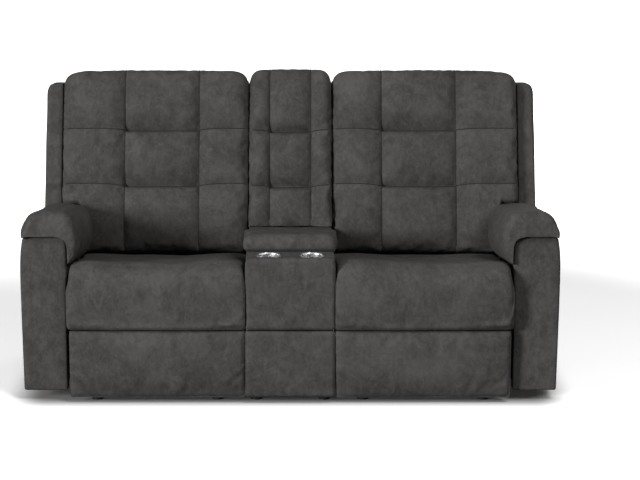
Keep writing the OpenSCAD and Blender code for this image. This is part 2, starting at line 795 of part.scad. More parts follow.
// Torsion tube, brackets and crank that carry a back
module back_carrier() {
    half = carrier_half;
    crank_end = back_crank_end - recline;
    crank_x = seat_xc + 80;
    color(steel) {
        x_pin(seat_xc - half, seat_xc + half, recline, tube_d);
        x_pin(seat_xc - half - plate_t - 2, seat_xc + half + plate_t + 2, recline, journal_d);
        for (x = [seat_xc - half, seat_xc + half - plate_t])
            difference() {
                on_back()
                    slab(x, x + plate_t, [
                        [-16, -14], [-16, 20], [board_t + joint, 60], [board_t + joint, 300],
                        [board_t + 34, 300], [board_t + 34, 40], [16, -14]
                    ]);
                x_pin(x - 1, x + plate_t + 1, recline, tube_d + 2 * joint);
            }
        difference() {
            link(crank_x - 4, crank_x + 4, [recline, recline + crank_end], [34, 30]);
            x_pin(crank_x - 5, crank_x + 5, recline, tube_d + 2 * joint);
        }
        x_pin(crank_x - 18, crank_x - 4 - joint, recline + crank_end, crank_pin_d);
    }
}

module wing() {
    face = -back_t + wing_set_back;
    color(fabric)
        on_back()
            difference() {
                intersection() {
                    slab(wing_x0, wing_x1, [
                        [face, 150], [face, wing_h - 26], [face + 7, wing_h - 9], [face + 24, wing_h],
                        [shell_top_t - 20, wing_h + 34], [shell_top_t - 4, wing_h + 32],
                        [shell_top_t + 4, wing_h + 18], [shell_waist_t, shell_waist], [shell_waist_t + 26, 150]
                    ]);
                    translate([0, 400, 0])
                        rotate([90, 0, 0])
                            linear_extrude(800)
                                union() {
                                    translate([wing_x0, 0])
                                        square([wing_w - 26, wing_h + 60]);
                                    translate([wing_x0, 0])
                                        square([wing_w, wing_h + 8]);
                                    translate([wing_x1 - 26, wing_h + 8])
                                        circle(r = 26);
                                }
                }
                x_pin(wing_x0 - 1, wing_x1 + 1, [0, 0], 2 * back_arc);
                rotate([back_tilt, 0, 0])
                    block(wing_x0 - 1, wing_x1 + 1, 0, 999, 0, 150);
            }
}

// Thin upholstered shell over the sides, top and rear of a back
function shell_inner() = [
    [-9, back_h - 9 - shell_wall], [shell_top_t * 0.5, back_h + 9 - shell_wall],
    [shell_top_t - shell_wall, back_h + 2 - shell_wall], [shell_waist_t - shell_wall, shell_waist],
    [shell_foot_t - shell_wall, -shell_foot], [shell_foot_t - shell_wall, -shell_foot - 60],
    [-9, -shell_foot - 60]
];
function shell_outer() = concat(shell_outline, [[shell_foot_t - 26, -shell_foot - 3], [0, 66]]);
module shell(x0, x1) {
    difference() {
        slab(x0, x1, shell_outer());
        slab(x0 + shell_side, x1 - shell_side, shell_inner());
    }
}

module back_shell() {
    color(fabric)
        on_back()
            union() {
                difference() {
                    shell(back_x0 + 1, wing_x0);
                    intersection() {
                        x_pin(back_step - 1, wing_x0 + 9, [0, 0], 2 * back_arc);
                        block(back_step - 1, wing_x0 + 9, -400, 400, -400, 400);
                    }
                    block(back_step - 1, wing_x0 + 9, -400, 400, -400, 150);
                }
                slab(back_step - 1 - shell_side, back_step - 1, [
                    [0, 66], [0, back_arc + 30], [shell_waist_t - 10, back_arc + 30],
                    [shell_waist_t - 8, shell_waist], [shell_foot_t - 2, -shell_foot],
                    [shell_foot_t - 26, -shell_foot - 3]
                ]);
            }
}

// Console
module console_box() {
    y0 = box_front;
    y1 = box_front + console_len;
    top = deck_h - 12;
    color(wood) {
        for (x = [-box_half, box_half - 12])
            block(x, x + 12, y0, y1, glide_h, top);
        inner = box_half - 12 - joint;
        block(-inner, inner, y0, y0 + 12, glide_h, deck_h - cup_depth - 6);
        difference() {
            block(-inner, inner, y1 - 12, y1, glide_h, top - 240);
            inlet(y1 - 13, y1 + 1, inlet_boss_d + 2 * soft);
        }
        block(-inner, inner, bin_y1 + 12, bin_y1 + 24, top - 200, top);
        for (s = [-1, 1], y = console_glides)
            translate([s * (inner - 17), y, glide_h])
                translate([-17, -20, 0])
                    cube([34, 40, 30]);
    }
}

module console_front_pads() {
    front = fy + console_set_back;
    split_z = lip_z - foot_gap;
    half = console_half - 2;
    color(fabric) {
        padded_panel(-half, half, foot_z0 + 2, split_z, front, box_front, 14);
        padded_panel(-half, half, lip_z - 2, deck_h - 12 - soft, front, box_front, 14);
    }
}

// The deck has two holes for the cups at its front and one opening for the bin
cup_y = fy + cup_set_back;
module console_deck() {
    y0 = fy + console_set_back + 6;
    y1 = box_front + console_len;
    z0 = deck_h - 12;
    half = console_half - 1;
    color(fabric)
        difference() {
            union() {
                block(-half, half, y0 + 10, y1, z0, deck_h);
                block(-half + 10, half - 10, y0, y0 + 10, z0, deck_h);
                for (s = [-1, 1])
                    translate([s * (half - 10), y0 + 10, z0])
                        cylinder(r = 10, h = deck_h - z0);
            }
            for (s = [-1, 1])
                translate([s * cup_spacing / 2, cup_y, z0 - 1])
                    cylinder(d = cup_bore + 6, h = 40);
            block(-bin_half, bin_half, bin_y0, bin_y1, z0 - 1, deck_h + 1);
        }
}

module cup_holders() {
    wall = 1.5;
    color(bright_steel)
        for (s = [-1, 1])
            translate([s * cup_spacing / 2, cup_y, 0])
                difference() {
                    union() {
                        translate([0, 0, deck_h - cup_depth])
                            cylinder(d = cup_bore + 2 * wall, h = cup_depth);
                        translate([0, 0, deck_h])
                            cylinder(d = cup_rim, h = 2);
                    }
                    translate([0, 0, deck_h - cup_depth + wall])
                        cylinder(d = cup_bore, h = cup_depth + 10);
                }
}

module console_bin() {
    wall = 3;
    z1 = deck_h + 2;
    z0 = deck_h - bin_depth;
    color(black)
        difference() {
            union() {
                block(-bin_half, bin_half, bin_y0, bin_y1, z0, deck_h);
                block(-bin_half - 8, bin_half + 8, bin_y0 - 8, bin_y1 + 8, deck_h, z1);
            }
            block(-bin_half + wall, bin_half - wall, bin_y0 + wall, bin_y1 - wall, z0 + wall, z1 + 1);
        }
}

lid_x = console_half + lid_over;
lid_low = deck_h + 3;
hinge_at = [lid_rear + 5, lid_low + 3];
hinge_knuckle = 9;
hinge_pin = 4;
module console_lid_board() {
    color(wood) {
        block(-lid_x + 6, lid_x - 6, lid_front + 6, lid_rear - 3, lid_low, lid_low + 12);
        for (x = [-80, 20])
            difference() {
                union() {
                    x_pin(x, x + 60, hinge_at, hinge_knuckle);
                    block(x, x + 60, lid_rear - 3, hinge_at[0], hinge_at[1] - 0.5, hinge_at[1] + 2);
                }
                x_pin(x - 1, x + 61, hinge_at, hinge_pin + 2 * pin_fit);
            }
    }
}

module lid_hinge() {
    color(bright_steel) {
        x_pin(-120, 120, hinge_at, hinge_pin);
        for (x = [-120, -19, 82])
            difference() {
                union() {
                    x_pin(x, x + 38, hinge_at, hinge_knuckle);
                    block(x, x + 38, hinge_at[0], hinge_at[0] + 26, deck_h, deck_h + 2);
                    block(x, x + 38, hinge_at[0] - 1, hinge_at[0] + 3, deck_h, hinge_at[1]);
                }
                x_pin(x - 1, x + 39, hinge_at, hinge_pin + 2 * pin_fit);
            }
    }
}

module console_lid_pad() {
    z0 = lid_low + 12 + soft;
    z1 = deck_h + lid_t;
    r = 30;
    xs = concat(
        [for (t = [0, 0.12, 0.45, 1]) -lid_x + r * t],
        [-lid_x * 0.4, 0, lid_x * 0.4],
        [for (t = [1, 0.45, 0.12, 0]) lid_x - r * t]
    );
    function ring(x) = let (
        e = rounding(edge(x, -lid_x, lid_x, r)),
        z = z1 - (z1 - z0) * 0.55 * e,
        zr = z - lid_fall * (1 - 0.55 * e),
        front = lid_front + 10 * e,
        rear = lid_rear - 4 - 6 * e
    ) [
        [x, front + 3, z0 + 1], [x, front, z0 + 12], [x, front + 2, lerp(z0, z, 0.6)],
        [x, front + 14, lerp(z0, z, 0.88)], [x, front + 38, lerp(z0, z, 0.98)],
        [x, (front + rear) / 2, (z + zr) / 2 + 3], [x, rear - 30, lerp(z0, zr, 0.98)],
        [x, rear - 8, lerp(z0, zr, 0.86)], [x, rear, lerp(z0, zr, 0.55)], [x, rear - 1, z0 + 1]
    ];
    outer = [for (x = xs) ring(x)];
    inner = [for (p = outer) [
        [p[0][0], p[0][1] + 4, z0], [p[0][0], (lid_front + lid_rear) / 2, z0], [p[0][0], p[9][1] - 4, z0]
    ]];
    color(fabric)
        loft(outer, inner);
}

// Back above the console: it is fixed, and lines up with the seat backs
cback_half = console_half - 1.5;
module console_back_frame() {
    half = box_half - 12;
    color(wood)
        on_back() {
            for (x = [-half, half - 12])
                slab(x, x + 12, frame_side(-20));
            for (w = slat_ws)
                block(-half + 12 + joint, half - 12 - joint, 0, board_t, w, w + slat_h);
        }
}

module console_back_cushion() {
    seam = cback_half * 0.505;
    ends = [for (t = [0, 0.1, 0.4, 1]) cback_half - 30 * t];
    seams = [for (d = [18, 8, 0, -8, -18]) seam + d];
    half_xs = concat(ends, seams);
    xs = concat([for (x = half_xs) -x], [0], [for (i = [len(half_xs) - 1 : -1 : 0]) half_xs[i]]);
    low = (deck_h + 3 - pivot_z) / cos(back_tilt);
    color(fabric)
        on_back()
            back_form(xs, -cback_half, cback_half, -seam, seam, low, 0, 9999);
}

module console_back_shell() {
    color(fabric)
        on_back()
            shell(-cback_half, cback_half);
}

// Controls
module rocker_at(y) {
    translate([arm_x1 - 4, y, control_z])
        children();
}

rocker_ys = [control_y - 22, control_y + 22];
module control_plate() {
    x1 = arm_x1 - 0.6;
    color(black)
        difference() {
            union() {
                block(x1 - 3, x1, control_y - control_l / 2 + soft, control_y + control_l / 2 - soft,
                      control_z - control_h / 2 + soft, control_z + control_h / 2 - soft);
                block(x1 - 30, x1 - 3, control_y - control_l / 2 + 4, control_y + control_l / 2 - 4,
                      control_z - control_h / 2 + 4, control_z + control_h / 2 - 4);
            }
            for (y = rocker_ys)
                block(x1 - 20, x1 + 1, y - rocker_l / 2 - 1.5, y + rocker_l / 2 + 1.5,
                      control_z - rocker_h / 2 - 0.5, control_z + rocker_h / 2 + 0.5);
            for (y = rocker_ys)
                translate([x1 - 9, y, control_z - control_h / 2 + 5])
                    cylinder(d = 3 + 2 * pin_fit, h = control_h - 10);
        }
}

module control_plates() {
    control_plate();
    left()
        control_plate();
}

// A rocker has a convex face and turns about an upright pin
module rocker(y) {
    x1 = arm_x1 - 0.6;
    color([0.16, 0.16, 0.17]) {
        intersection() {
            block(x1 - 13, x1 + 9, y - rocker_l / 2, y + rocker_l / 2,
                  control_z - rocker_h / 2, control_z + rocker_h / 2);
            translate([x1 - 42.5, y, control_z - rocker_h])
                cylinder(r = 43, h = 2 * rocker_h, $fn = 96);
        }
        translate([x1 - 9, y, control_z - rocker_h / 2 - 3])
            cylinder(d = 3, h = rocker_h + 6);
    }
}

// Power supply under the console, with a round inlet that faces the rear
supply_y1 = box_front + console_len - 12;
supply_z = glide_h + 60;
supply_h = 50;
supply_half = 70;
inlet_boss_d = 20;
inlet_bore = 8;
inlet_depth = 14;
module inlet(y0, y1, d) {
    translate([30, y1, supply_z + supply_h / 2])
        rotate([90, 0, 0])
            cylinder(d = d, h = y1 - y0);
}

module power_supply() {
    boss_y1 = supply_y1 + 16;
    color(black) {
        difference() {
            union() {
                block(-supply_half, supply_half, supply_y1 - 190, supply_y1, supply_z, supply_z + supply_h);
                inlet(supply_y1 - 1, boss_y1, inlet_boss_d);
            }
            inlet(boss_y1 - inlet_depth, boss_y1 + 1, inlet_bore);
        }
        for (s = [-1, 1], x = s * (supply_half + box_half - 12) / 2)
            translate([x, 0, 0])
                block((supply_half - box_half + 12) / 2 + joint, (box_half - 12 - supply_half) / 2,
                      supply_y1 - 170, supply_y1 - 140, supply_z, supply_z + 6);
    }
}

// Linear actuators: a rail with a motor, and a nut that slides on it with a slotted yoke
foot_crank_end = drive + foot_crank * [sqrt(0.5), -sqrt(0.5)];
foot_drive_x = seat_xc - 60;
foot_rail_z = 118;
module foot_actuator() {
    y0 = drive[0] - 38;
    y1 = fy + 540;
    x = foot_drive_x;
    color(black) {
        block(x - 12, x + 12, y0, y1, foot_rail_z, foot_rail_z + 20);
        translate([x, y1 + joint + 70, foot_rail_z + 10])
            rotate([90, 0, 0])
                cylinder(d = 58, h = 70);
        block(x - 10, x + 10, cross_front + 4, cross_front + cross_tube - 4, cross_z1, foot_rail_z - joint);
    }
}

// Yoke slot in [y, z] with round ends, long enough for the crank pin's arc
module yoke_plate(x0, x1, at, z_low, z_high, z_foot) {
    w = slot_w / 2 + 7.5;
    difference() {
        slab(x0, x1, [
            [at[0] - w, z_foot], [at[0] - w, z_high + 16], [at[0] + w, z_high + 16], [at[0] + w, z_foot]
        ]);
        slot_cut(x0 - 1, x1 + 1, at[0], z_low, z_high, slot_w);
    }
}

module foot_nut() {
    x = foot_drive_x;
    at = foot_crank_end;
    low = drive[1] - foot_crank;
    body_y = at[0] + 40;
    color(bright_steel)
        union() {
            difference() {
                block(x - 20, x + 20, body_y, body_y + 60, foot_rail_z - 8, foot_rail_z + 28);
                block(x - 12.3, x + 12.3, body_y - 1, body_y + 61, foot_rail_z - 0.3, foot_rail_z + 20.3);
            }
            block(x - 20, x - 14, at[0] - 17, body_y, foot_rail_z + 21, foot_rail_z + 28);
            yoke_plate(x - 20, x - 14, at, low + 2, at[1] + 1, foot_rail_z + 21);
        }
}

back_drive_x = seat_xc + 80;
back_rail_z = 186;
module back_actuator() {
    y0 = py - 120;
    y1 = py + 62;
    x = back_drive_x;
    color(black) {
        block(x - 12, x + 12, y0, y1, back_rail_z, back_rail_z + 16);
        translate([x, y0 - joint, back_rail_z + 8])
            rotate([90, 0, 0])
                cylinder(d = 58, h = 90);
        block(x - 10, x + 10, cross_rear + 1, cross_rear + 11, cross_z1, back_rail_z - joint);
    }
}

module back_nut() {
    x = back_drive_x;
    at = back_crank_end;
    low = recline[1] - back_crank;
    color(bright_steel)
        union() {
            difference() {
                block(x - 20, x + 20, at[0] - 12, at[0] + 12, back_rail_z - 8, back_rail_z + 24);
                block(x - 12.3, x + 12.3, at[0] - 13, at[0] + 13, back_rail_z - 0.3, back_rail_z + 16.3);
            }
            yoke_plate(x - 14, x - 8, at, low, at[1] + 1, back_rail_z + 18);
        }
}

// Footrest linkage
module both_sides() {
    children();
    translate([2 * seat_xc, 0, 0])
        mirror([1, 0, 0])
            children();
}

module drive_tube() {
    out = seat_xc + layer_swing;
    color(steel) {
        x_pin(seat_xc - layer_swing - 2, out + 2, drive, tube_d);
        x_pin(seat_xc - layer_plate - plate_t - 2, seat_xc + layer_plate + plate_t + 2, drive, journal_d);
        both_sides() {
            difference() {
                link(out - link_t / 2, out + link_t / 2, [drive, swing_end, carrier_low], [34, 24, 17]);
                x_pin(out - link_t, out + link_t, drive, tube_d + 2 * joint);
            }
            x_pin(seat_xc + layer_extension - link_t / 2 - 1, out - link_t / 2 - joint, swing_end, pin_d);
            x_pin(out + link_t / 2 + joint, seat_xc + layer_carrier + link_t / 2 + 1, carrier_low, pin_d);
        }
        difference() {
            link(foot_drive_x - 8, foot_drive_x, [drive, foot_crank_end], [34, 30]);
            x_pin(foot_drive_x - 9, foot_drive_x + 1, drive, tube_d + 2 * joint);
        }
        x_pin(foot_drive_x - 24, foot_drive_x - 8 - joint, foot_crank_end, crank_pin_d);
    }
}

module extension_links() {
    x0 = seat_xc + layer_extension - link_t / 2;
    color(steel)
        both_sides() {
            difference() {
                link(x0, x0 + link_t, [board_pivot, swing_end, tail_end], [link_w, link_w, link_w]);
                x_pin(x0 - 1, x0 + link_t + 1, swing_end, pin_d + 2 * pin_fit);
                x_pin(x0 - 1, x0 + link_t + 1, board_pivot, pin_d + 2 * pin_fit);
            }
            x_pin(seat_xc + layer_control - link_t / 2 - 1, x0 - joint, tail_end, pin_d);
        }
}

module control_links() {
    x0 = seat_xc + layer_control - link_t / 2;
    color(steel)
        both_sides()
            difference() {
                link(x0, x0 + link_t, [control_root, control_knee, tail_end], [link_w, link_w, open_hole_d + 9]);
                x_pin(x0 - 1, x0 + link_t + 1, control_root, pin_d + 2 * pin_fit);
                x_pin(x0 - 1, x0 + link_t + 1, tail_end, open_hole_d);
            }
}

module carrier_links() {
    x0 = seat_xc + layer_carrier - link_t / 2;
    color(steel)
        both_sides()
            difference() {
                link(x0, x0 + link_t, [carrier_low, carrier_top], [link_w, link_w]);
                x_pin(x0 - 1, x0 + link_t + 1, carrier_low, pin_d + 2 * pin_fit);
                x_pin(x0 - 1, x0 + link_t + 1, carrier_top, pin_d + 2 * pin_fit);
            }
}

module footrest_board() {
    x = seat_xc + layer_swing;
    color(wood) {
        block(seat_x0 + 10, foot_x1 - 10, foot_rear, board_rear, foot_z0 + 8, foot_z1 - 6);
        both_sides() {
            slab(x - link_t / 2, x + link_t / 2, [
                [board_rear + joint, board_pivot[1] - 40], [board_rear + joint, foot_z1 - 6],
                [carrier_top[0] - 4, carrier_top[1] + 7], [carrier_top[0] + 6, carrier_top[1] + 4],
                [carrier_top[0] + 7, carrier_top[1] - 6], [board_pivot[0] + 7, board_pivot[1] - 6],
                [board_pivot[0] - 2, board_pivot[1] - 10]
            ]);
            x_pin(seat_xc + layer_extension - link_t / 2 - 1, x - link_t / 2 - joint, board_pivot, pin_d);
            x_pin(x + link_t / 2 + joint, seat_xc + layer_carrier + link_t / 2 + 1, carrier_top, pin_d);
        }
    }
}

module footrest_pad() {
    color(fabric)
        padded_panel(seat_x0, foot_x1, foot_z0, foot_z1, foot_face, foot_rear, 30);
}

left() arm_frame();  // left_arm_frame
arm_frame();  // right_arm_frame
left() arm_panel();  // left_arm_panel
arm_panel();  // right_arm_panel
left() arm_pad();  // left_arm_pad
arm_pad();  // right_arm_pad
mechanism_base();
glides();
left() seat_frame();  // left_seat_frame
seat_frame();  // right_seat_frame
seat_springs();
left() seat_cushion();  // left_seat_cushion
seat_cushion();  // right_seat_cushion
console_box();
console_front_pads();
console_deck();
cup_holders();
console_bin();
console_back_frame();
console_back_cushion();
console_back_shell();
control_plates();
power_supply();
left() foot_actuator();  // left_foot_actuator
foot_actuator();  // right_foot_actuator
left() back_actuator();  // left_back_actuator
back_actuator();  // right_back_actuator
console_lid_board();
console_lid_pad();
lid_hinge();
left() rocker(rocker_ys[0]);  // left_foot_rocker
left() rocker(rocker_ys[1]);  // left_back_rocker
rocker(rocker_ys[0]);  // right_foot_rocker
rocker(rocker_ys[1]);  // right_back_rocker
left() drive_tube();  // left_drive_tube
drive_tube();  // right_drive_tube
left() extension_links();  // left_extension_links
extension_links();  // right_extension_links
left() control_links();  // left_control_links
control_links();  // right_control_links
left() carrier_links();  // left_carrier_links
carrier_links();  // right_carrier_links
left() footrest_board();  // left_footrest_board
footrest_board();  // right_footrest_board
left() footrest_pad();  // left_footrest_pad
footrest_pad();  // right_footrest_pad
left() foot_nut();  // left_foot_nut
foot_nut();  // right_foot_nut
left() back_nut();  // left_back_nut
back_nut();  // right_back_nut
left() back_carrier();  // left_back_carrier
back_carrier();  // right_back_carrier
left() back_frame();  // left_back_frame
back_frame();  // right_back_frame
left() back_cushion();  // left_back_cushion
back_cushion();  // right_back_cushion
left() wing();  // left_back_wing
wing();  // right_back_wing
left() back_shell();  // left_back_shell
back_shell();  // right_back_shell
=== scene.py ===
"""Dresses the power reclining loveseat: padded covers, finishes, floor, light and camera."""
import json
import math
from dataclasses import dataclass

import bmesh
import bpy
import numpy as np
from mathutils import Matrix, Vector, noise


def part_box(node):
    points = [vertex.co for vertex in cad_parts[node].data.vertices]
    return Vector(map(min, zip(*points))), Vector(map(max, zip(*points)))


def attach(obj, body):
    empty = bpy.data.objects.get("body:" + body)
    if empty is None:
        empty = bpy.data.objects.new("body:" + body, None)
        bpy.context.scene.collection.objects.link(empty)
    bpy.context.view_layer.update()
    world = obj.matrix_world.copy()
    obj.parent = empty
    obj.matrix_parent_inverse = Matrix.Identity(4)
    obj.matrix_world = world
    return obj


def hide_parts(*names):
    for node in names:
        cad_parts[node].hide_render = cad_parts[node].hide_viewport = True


bl_info = {
    "name": "Reclining Loveseat",
    "version": (1, 0, 0),
    "blender": (4, 5, 0),
    "location": "View3D > Sidebar > Loveseat",
    "description": "Builds the upholstery, finishes and studio of a power reclining loveseat",
    "category": "Add Mesh",
}

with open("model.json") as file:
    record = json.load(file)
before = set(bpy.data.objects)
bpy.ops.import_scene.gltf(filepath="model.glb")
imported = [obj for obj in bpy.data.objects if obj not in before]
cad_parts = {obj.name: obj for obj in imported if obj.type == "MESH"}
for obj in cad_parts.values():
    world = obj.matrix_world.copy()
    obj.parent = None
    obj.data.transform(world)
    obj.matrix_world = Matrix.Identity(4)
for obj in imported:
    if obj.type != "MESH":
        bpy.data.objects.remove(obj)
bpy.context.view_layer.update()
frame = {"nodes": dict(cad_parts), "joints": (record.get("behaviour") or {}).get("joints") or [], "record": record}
MM = 0.001


def node_box(node):
    """Corners of a CAD node in millimetres."""
    low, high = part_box(node)
    return np.array(low) / MM, np.array(high) / MM


def joint_spot(name):
    """Place of a joint in millimetres."""
    for joint in frame["joints"]:
        if joint["name"] == name:
            return np.array(joint["pos_m"]) / MM
    raise RuntimeError("no joint " + name)


PIVOT = joint_spot("right_recline")
BACK_TILT = math.radians(18.5)
SEAT_LOW, SEAT_HIGH = node_box("right_seat_cushion")
FRONT = SEAT_LOW[1]
DECK_TOP = node_box("console_deck")[1][2]


# Shapes of numbers

def clamp(t):
    return np.clip(t, 0.0, 1.0)


def smooth(t):
    """Rises from 0 at t = 0 to 1 at t = 1 without corners."""
    t = clamp(t)
    return t * t * (3 - 2 * t)


def bump(t):
    """A bell of height 1 around t = 0."""
    return np.exp(-t * t)


def arch(t):
    """Falls along a quarter circle: 0 at t = 0 and 1 at t = 1."""
    return 1 - np.sqrt(1 - clamp(t) ** 2)


def mix(a, b, t):
    """a at t = 0 and b at t = 1."""
    return a + (b - a) * t


def corner_fall(x, x0, x1, first, last):
    """How far corners at x0 and x1 fall at x. first and last hold their width and fall."""
    (in_w, in_fall), (out_w, out_fall) = first, last
    return in_fall * arch((x0 + in_w - x) / in_w) + out_fall * arch((x - x1 + out_w) / out_w)


def joined(*columns):
    """Points from their columns."""
    return np.stack(columns, axis=1)


EDGE = (2.0, 5.0, 10.0, 16.0, 24.0)
SOFT_EDGE = (3.0, 8.0, 16.0, 26.0)


def stations(low, high, step, knots=(), fan=(), ends=()):
    """Grid stations from low to high that hit every knot, with finer ones near knots and ends."""
    held = {low, high}
    for knot in knots:
        held.add(knot)
        for gap in fan:
            held.update((knot - gap, knot + gap))
    for gap in ends:
        held.update((low + gap, high - gap))
    held = sorted(v for v in held if low <= v <= high)
    out = [held[0]]
    for spot in held[1:]:
        count = max(1, round((spot - out[-1]) / step))
        start = out[-1]
        out += [start + (spot - start) * (i + 1) / count for i in range(count)]
    return np.array(out)


def block_grid(xs, ys, zs):
    """The closed skin of a block as points and quads, with one point per grid crossing."""
    counts = (len(xs), len(ys), len(zs))
    index, points, faces = {}, [], []

    def corner(i, j, k):
        key = (i, j, k)
        if key not in index:
            index[key] = len(points)
            points.append((xs[i], ys[j], zs[k]))
        return index[key]

    for axis in range(3):
        u, v = (axis + 1) % 3, (axis + 2) % 3
        for side in (0, counts[axis] - 1):
            for a in range(counts[u] - 1):
                for b in range(counts[v] - 1):
                    ring = []
                    for da, db in ((0, 0), (1, 0), (1, 1), (0, 1)):
                        spot = [0, 0, 0]
                        spot[axis], spot[u], spot[v] = side, a + da, b + db
                        ring.append(corner(*spot))
                    faces.append(ring if side else ring[::-1])
    return np.array(points, dtype=float), faces


def round_block(points, low, high, radii):
    """Rounds a block's edges. radii holds, for each axis, the radius at its low and at its high side."""
    low, high = np.array(low, float), np.array(high, float)
    at = (points - low) / (high - low)
    radius = np.min([mix(pair[0], pair[1], at[:, i]) for i, pair in enumerate(radii)], axis=0)
    radius = np.minimum(radius, np.min(high - low) * 0.49)[:, None]
    core = np.clip(points, low + radius, high - radius)
    off = points - core
    span = np.linalg.norm(off, axis=1, keepdims=True)
    return np.where(span > 1e-6, core + off / np.maximum(span, 1e-6) * radius, points)


def ripple(points, scale, seed, strength):
    """Slow noise at points, in millimetres."""
    shift = Vector((seed * 17.3, seed * 5.1, seed * 9.7))
    return strength * np.array([noise.noise(Vector(p) / scale + shift) for p in points])


def lean(points):
    """From a back's own x, depth behind its frame and height along it, to the row frame."""
    x, v, w = points[:, 0], points[:, 1], points[:, 2]
    sine, cosine = math.sin(BACK_TILT), math.cos(BACK_TILT)
    return joined(x, PIVOT[1] + v * cosine + w * sine, PIVOT[2] + w * cosine - v * sine)


def on_side(stem, points, faces):
    """Points and faces as they are, or mirrored where the stem is left."""
    if stem == "left":
        return points * np.array([-1, 1, 1]), [ring[::-1] for ring in faces]
    return points, faces


# Making objects

CLOTH_FRAMES = 20


def add_object(name, data):
    thing = bpy.data.objects.new(name, data)
    bpy.context.scene.collection.objects.link(thing)
    return thing


def make_mesh(name, points, faces, finish):
    """A smooth object from points in millimetres."""
    mesh = bpy.data.meshes.new(name)
    mesh.from_pydata([tuple(p * MM) for p in points], [], faces)
    mesh.validate()
    mesh.materials.append(material(finish))
    mesh.polygons.foreach_set("use_smooth", [True] * len(mesh.polygons))
    return add_object(name, mesh)


def bake_modifiers(piece):
    """Puts what the modifiers make in the place of a piece's mesh."""
    graph = bpy.context.evaluated_depsgraph_get()
    mesh = bpy.data.meshes.new_from_object(piece.evaluated_get(graph))
    piece.modifiers.clear()
    old = piece.data
    piece.data = mesh
    bpy.data.meshes.remove(old)
    mesh.name = piece.name


def puff(piece, held, cap):
    """Blows a cover up as cloth. held is 1 where the cloth is sewn or tacked down, and cap the furthest
    that a point may go, in millimetres."""
    scene = bpy.context.scene
    scene.frame_set(1)
    before = np.array([v.co for v in piece.data.vertices])
    group = piece.vertex_groups.new(name="held")
    for index, weight in enumerate(held):
        group.add([index], float(weight), "REPLACE")
    cloth = piece.modifiers.new("cloth", "CLOTH")
    rules = cloth.settings
    rules.quality = 4
    rules.mass = 0.3
    rules.tension_stiffness = rules.compression_stiffness = 18.0
    rules.shear_stiffness, rules.bending_stiffness = 8.0, 1.2
    rules.use_pressure, rules.uniform_pressure_force = True, 4.0
    rules.shrink_min = -0.02
    rules.vertex_group_mass = group.name
    rules.pin_stiffness = 1.0
    rules.effector_weights.gravity = 0.0
    cloth.collision_settings.use_collision = False
    cloth.point_cache.frame_start, cloth.point_cache.frame_end = 1, CLOTH_FRAMES
    for number in range(1, CLOTH_FRAMES + 1):
        scene.frame_set(number)
    bake_modifiers(piece)
    scene.frame_set(1)
    piece.vertex_groups.clear()
    after = np.array([v.co for v in piece.data.vertices])
    move = after - before
    span = np.linalg.norm(move, axis=1, keepdims=True)
    after = before + move * np.minimum(1.0, cap * MM / np.maximum(span, 1e-9))
    piece.data.vertices.foreach_set("co", after.ravel())
    piece.data.update()


def fit(piece, body, nodes):
    """Puts a piece on its body, in the place of CAD nodes."""
    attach(piece, body)
    if nodes:
        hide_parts(*nodes)


def add_cover(stem, name, points, faces, body, node, held=None, cap=0.0):
    """Makes a suede cover for a CAD node: mirrored on the left side, blown up where held is given, and one
    level finer. stem is what the names of the piece and of the node start with."""
    piece = make_mesh(stem + name, *on_side(stem, points, faces), "charcoal_suede")
    if held is not None:
        puff(piece, held, cap)
    finer = piece.modifiers.new("finer", "SUBSURF")
    finer.levels = finer.render_levels = 1
    bake_modifiers(piece)
    fit(piece, body, [stem + node])


# Shader maths

class Sum:
    """A shader value that can be used in Python expressions."""

    def __init__(self, graph, socket):
        self.graph, self.socket = graph, socket

    def __add__(self, other):
        return self.graph.math("ADD", self, other)

    def __mul__(self, other):
        return self.graph.math("MULTIPLY", self, other)

    def __sub__(self, other):
        return self.graph.math("SUBTRACT", self, other)

    def __rsub__(self, other):
        return self.graph.math("SUBTRACT", other, self)

    __radd__ = __add__
    __rmul__ = __mul__


class Graph:
    """The node tree of one material or of the world."""

    def __init__(self, holder):
        holder.use_nodes = True
        self.holder, self.tree = holder, holder.node_tree
        self.tree.nodes.clear()

    def node(self, kind, options, *values, out=0, **named):
        """Adds a node. values go to its sockets in order, named ones by name, and out is the output used."""
        node = self.tree.nodes.new(kind)
        for key, value in options.items():
            setattr(node, key, value)
        pairs = list(enumerate(values)) + [(key.replace("_", " "), value) for key, value in named.items()]
        for key, value in pairs:
            if isinstance(value, Sum):
                self.tree.links.new(value.socket, node.inputs[key])
            elif value is not None:
                node.inputs[key].default_value = value
        return Sum(self, node.outputs[out]) if node.outputs else None

    def math(self, operation, *values):
        return self.node("ShaderNodeMath", {"operation": operation}, *values)

    def vector(self, operation, *values, out=0):
        return self.node("ShaderNodeVectorMath", {"operation": operation}, *values, out=out)

    def place(self):
        return self.node("ShaderNodeTexCoord", {}, out="Object")

    def ray(self, kind):
        return self.node("ShaderNodeLightPath", {}, out=kind)

    def noise(self, place, scale, detail=2.0, roughness=0.5, distortion=0.0):
        return self.node("ShaderNodeTexNoise", {}, Vector=place, Scale=scale, Detail=detail,
                         Roughness=roughness, Distortion=distortion)

    def stretch(self, place, scale):
        return self.node("ShaderNodeMapping", {"vector_type": "POINT"}, Vector=place, Scale=scale)

    def steps(self, value, low, high):
        return self.node("ShaderNodeMapRange", {"interpolation_type": "SMOOTHSTEP"}, value, low, high)

    def blend(self, factor, first, second):
        """Mixes two colours, whose sockets are the seventh and the eighth of a Mix node."""
        return self.node("ShaderNodeMix", {"data_type": "RGBA"}, factor, *[None] * 5, first, second, out=2)

    def bump(self, height, strength, distance, under=None):
        return self.node("ShaderNodeBump", {}, Strength=strength, Distance=distance, Height=height,
                         Normal=under)

    def finish(self, **named):
        self.node("ShaderNodeOutputMaterial", {}, Surface=self.node("ShaderNodeBsdfPrincipled", {}, **named))


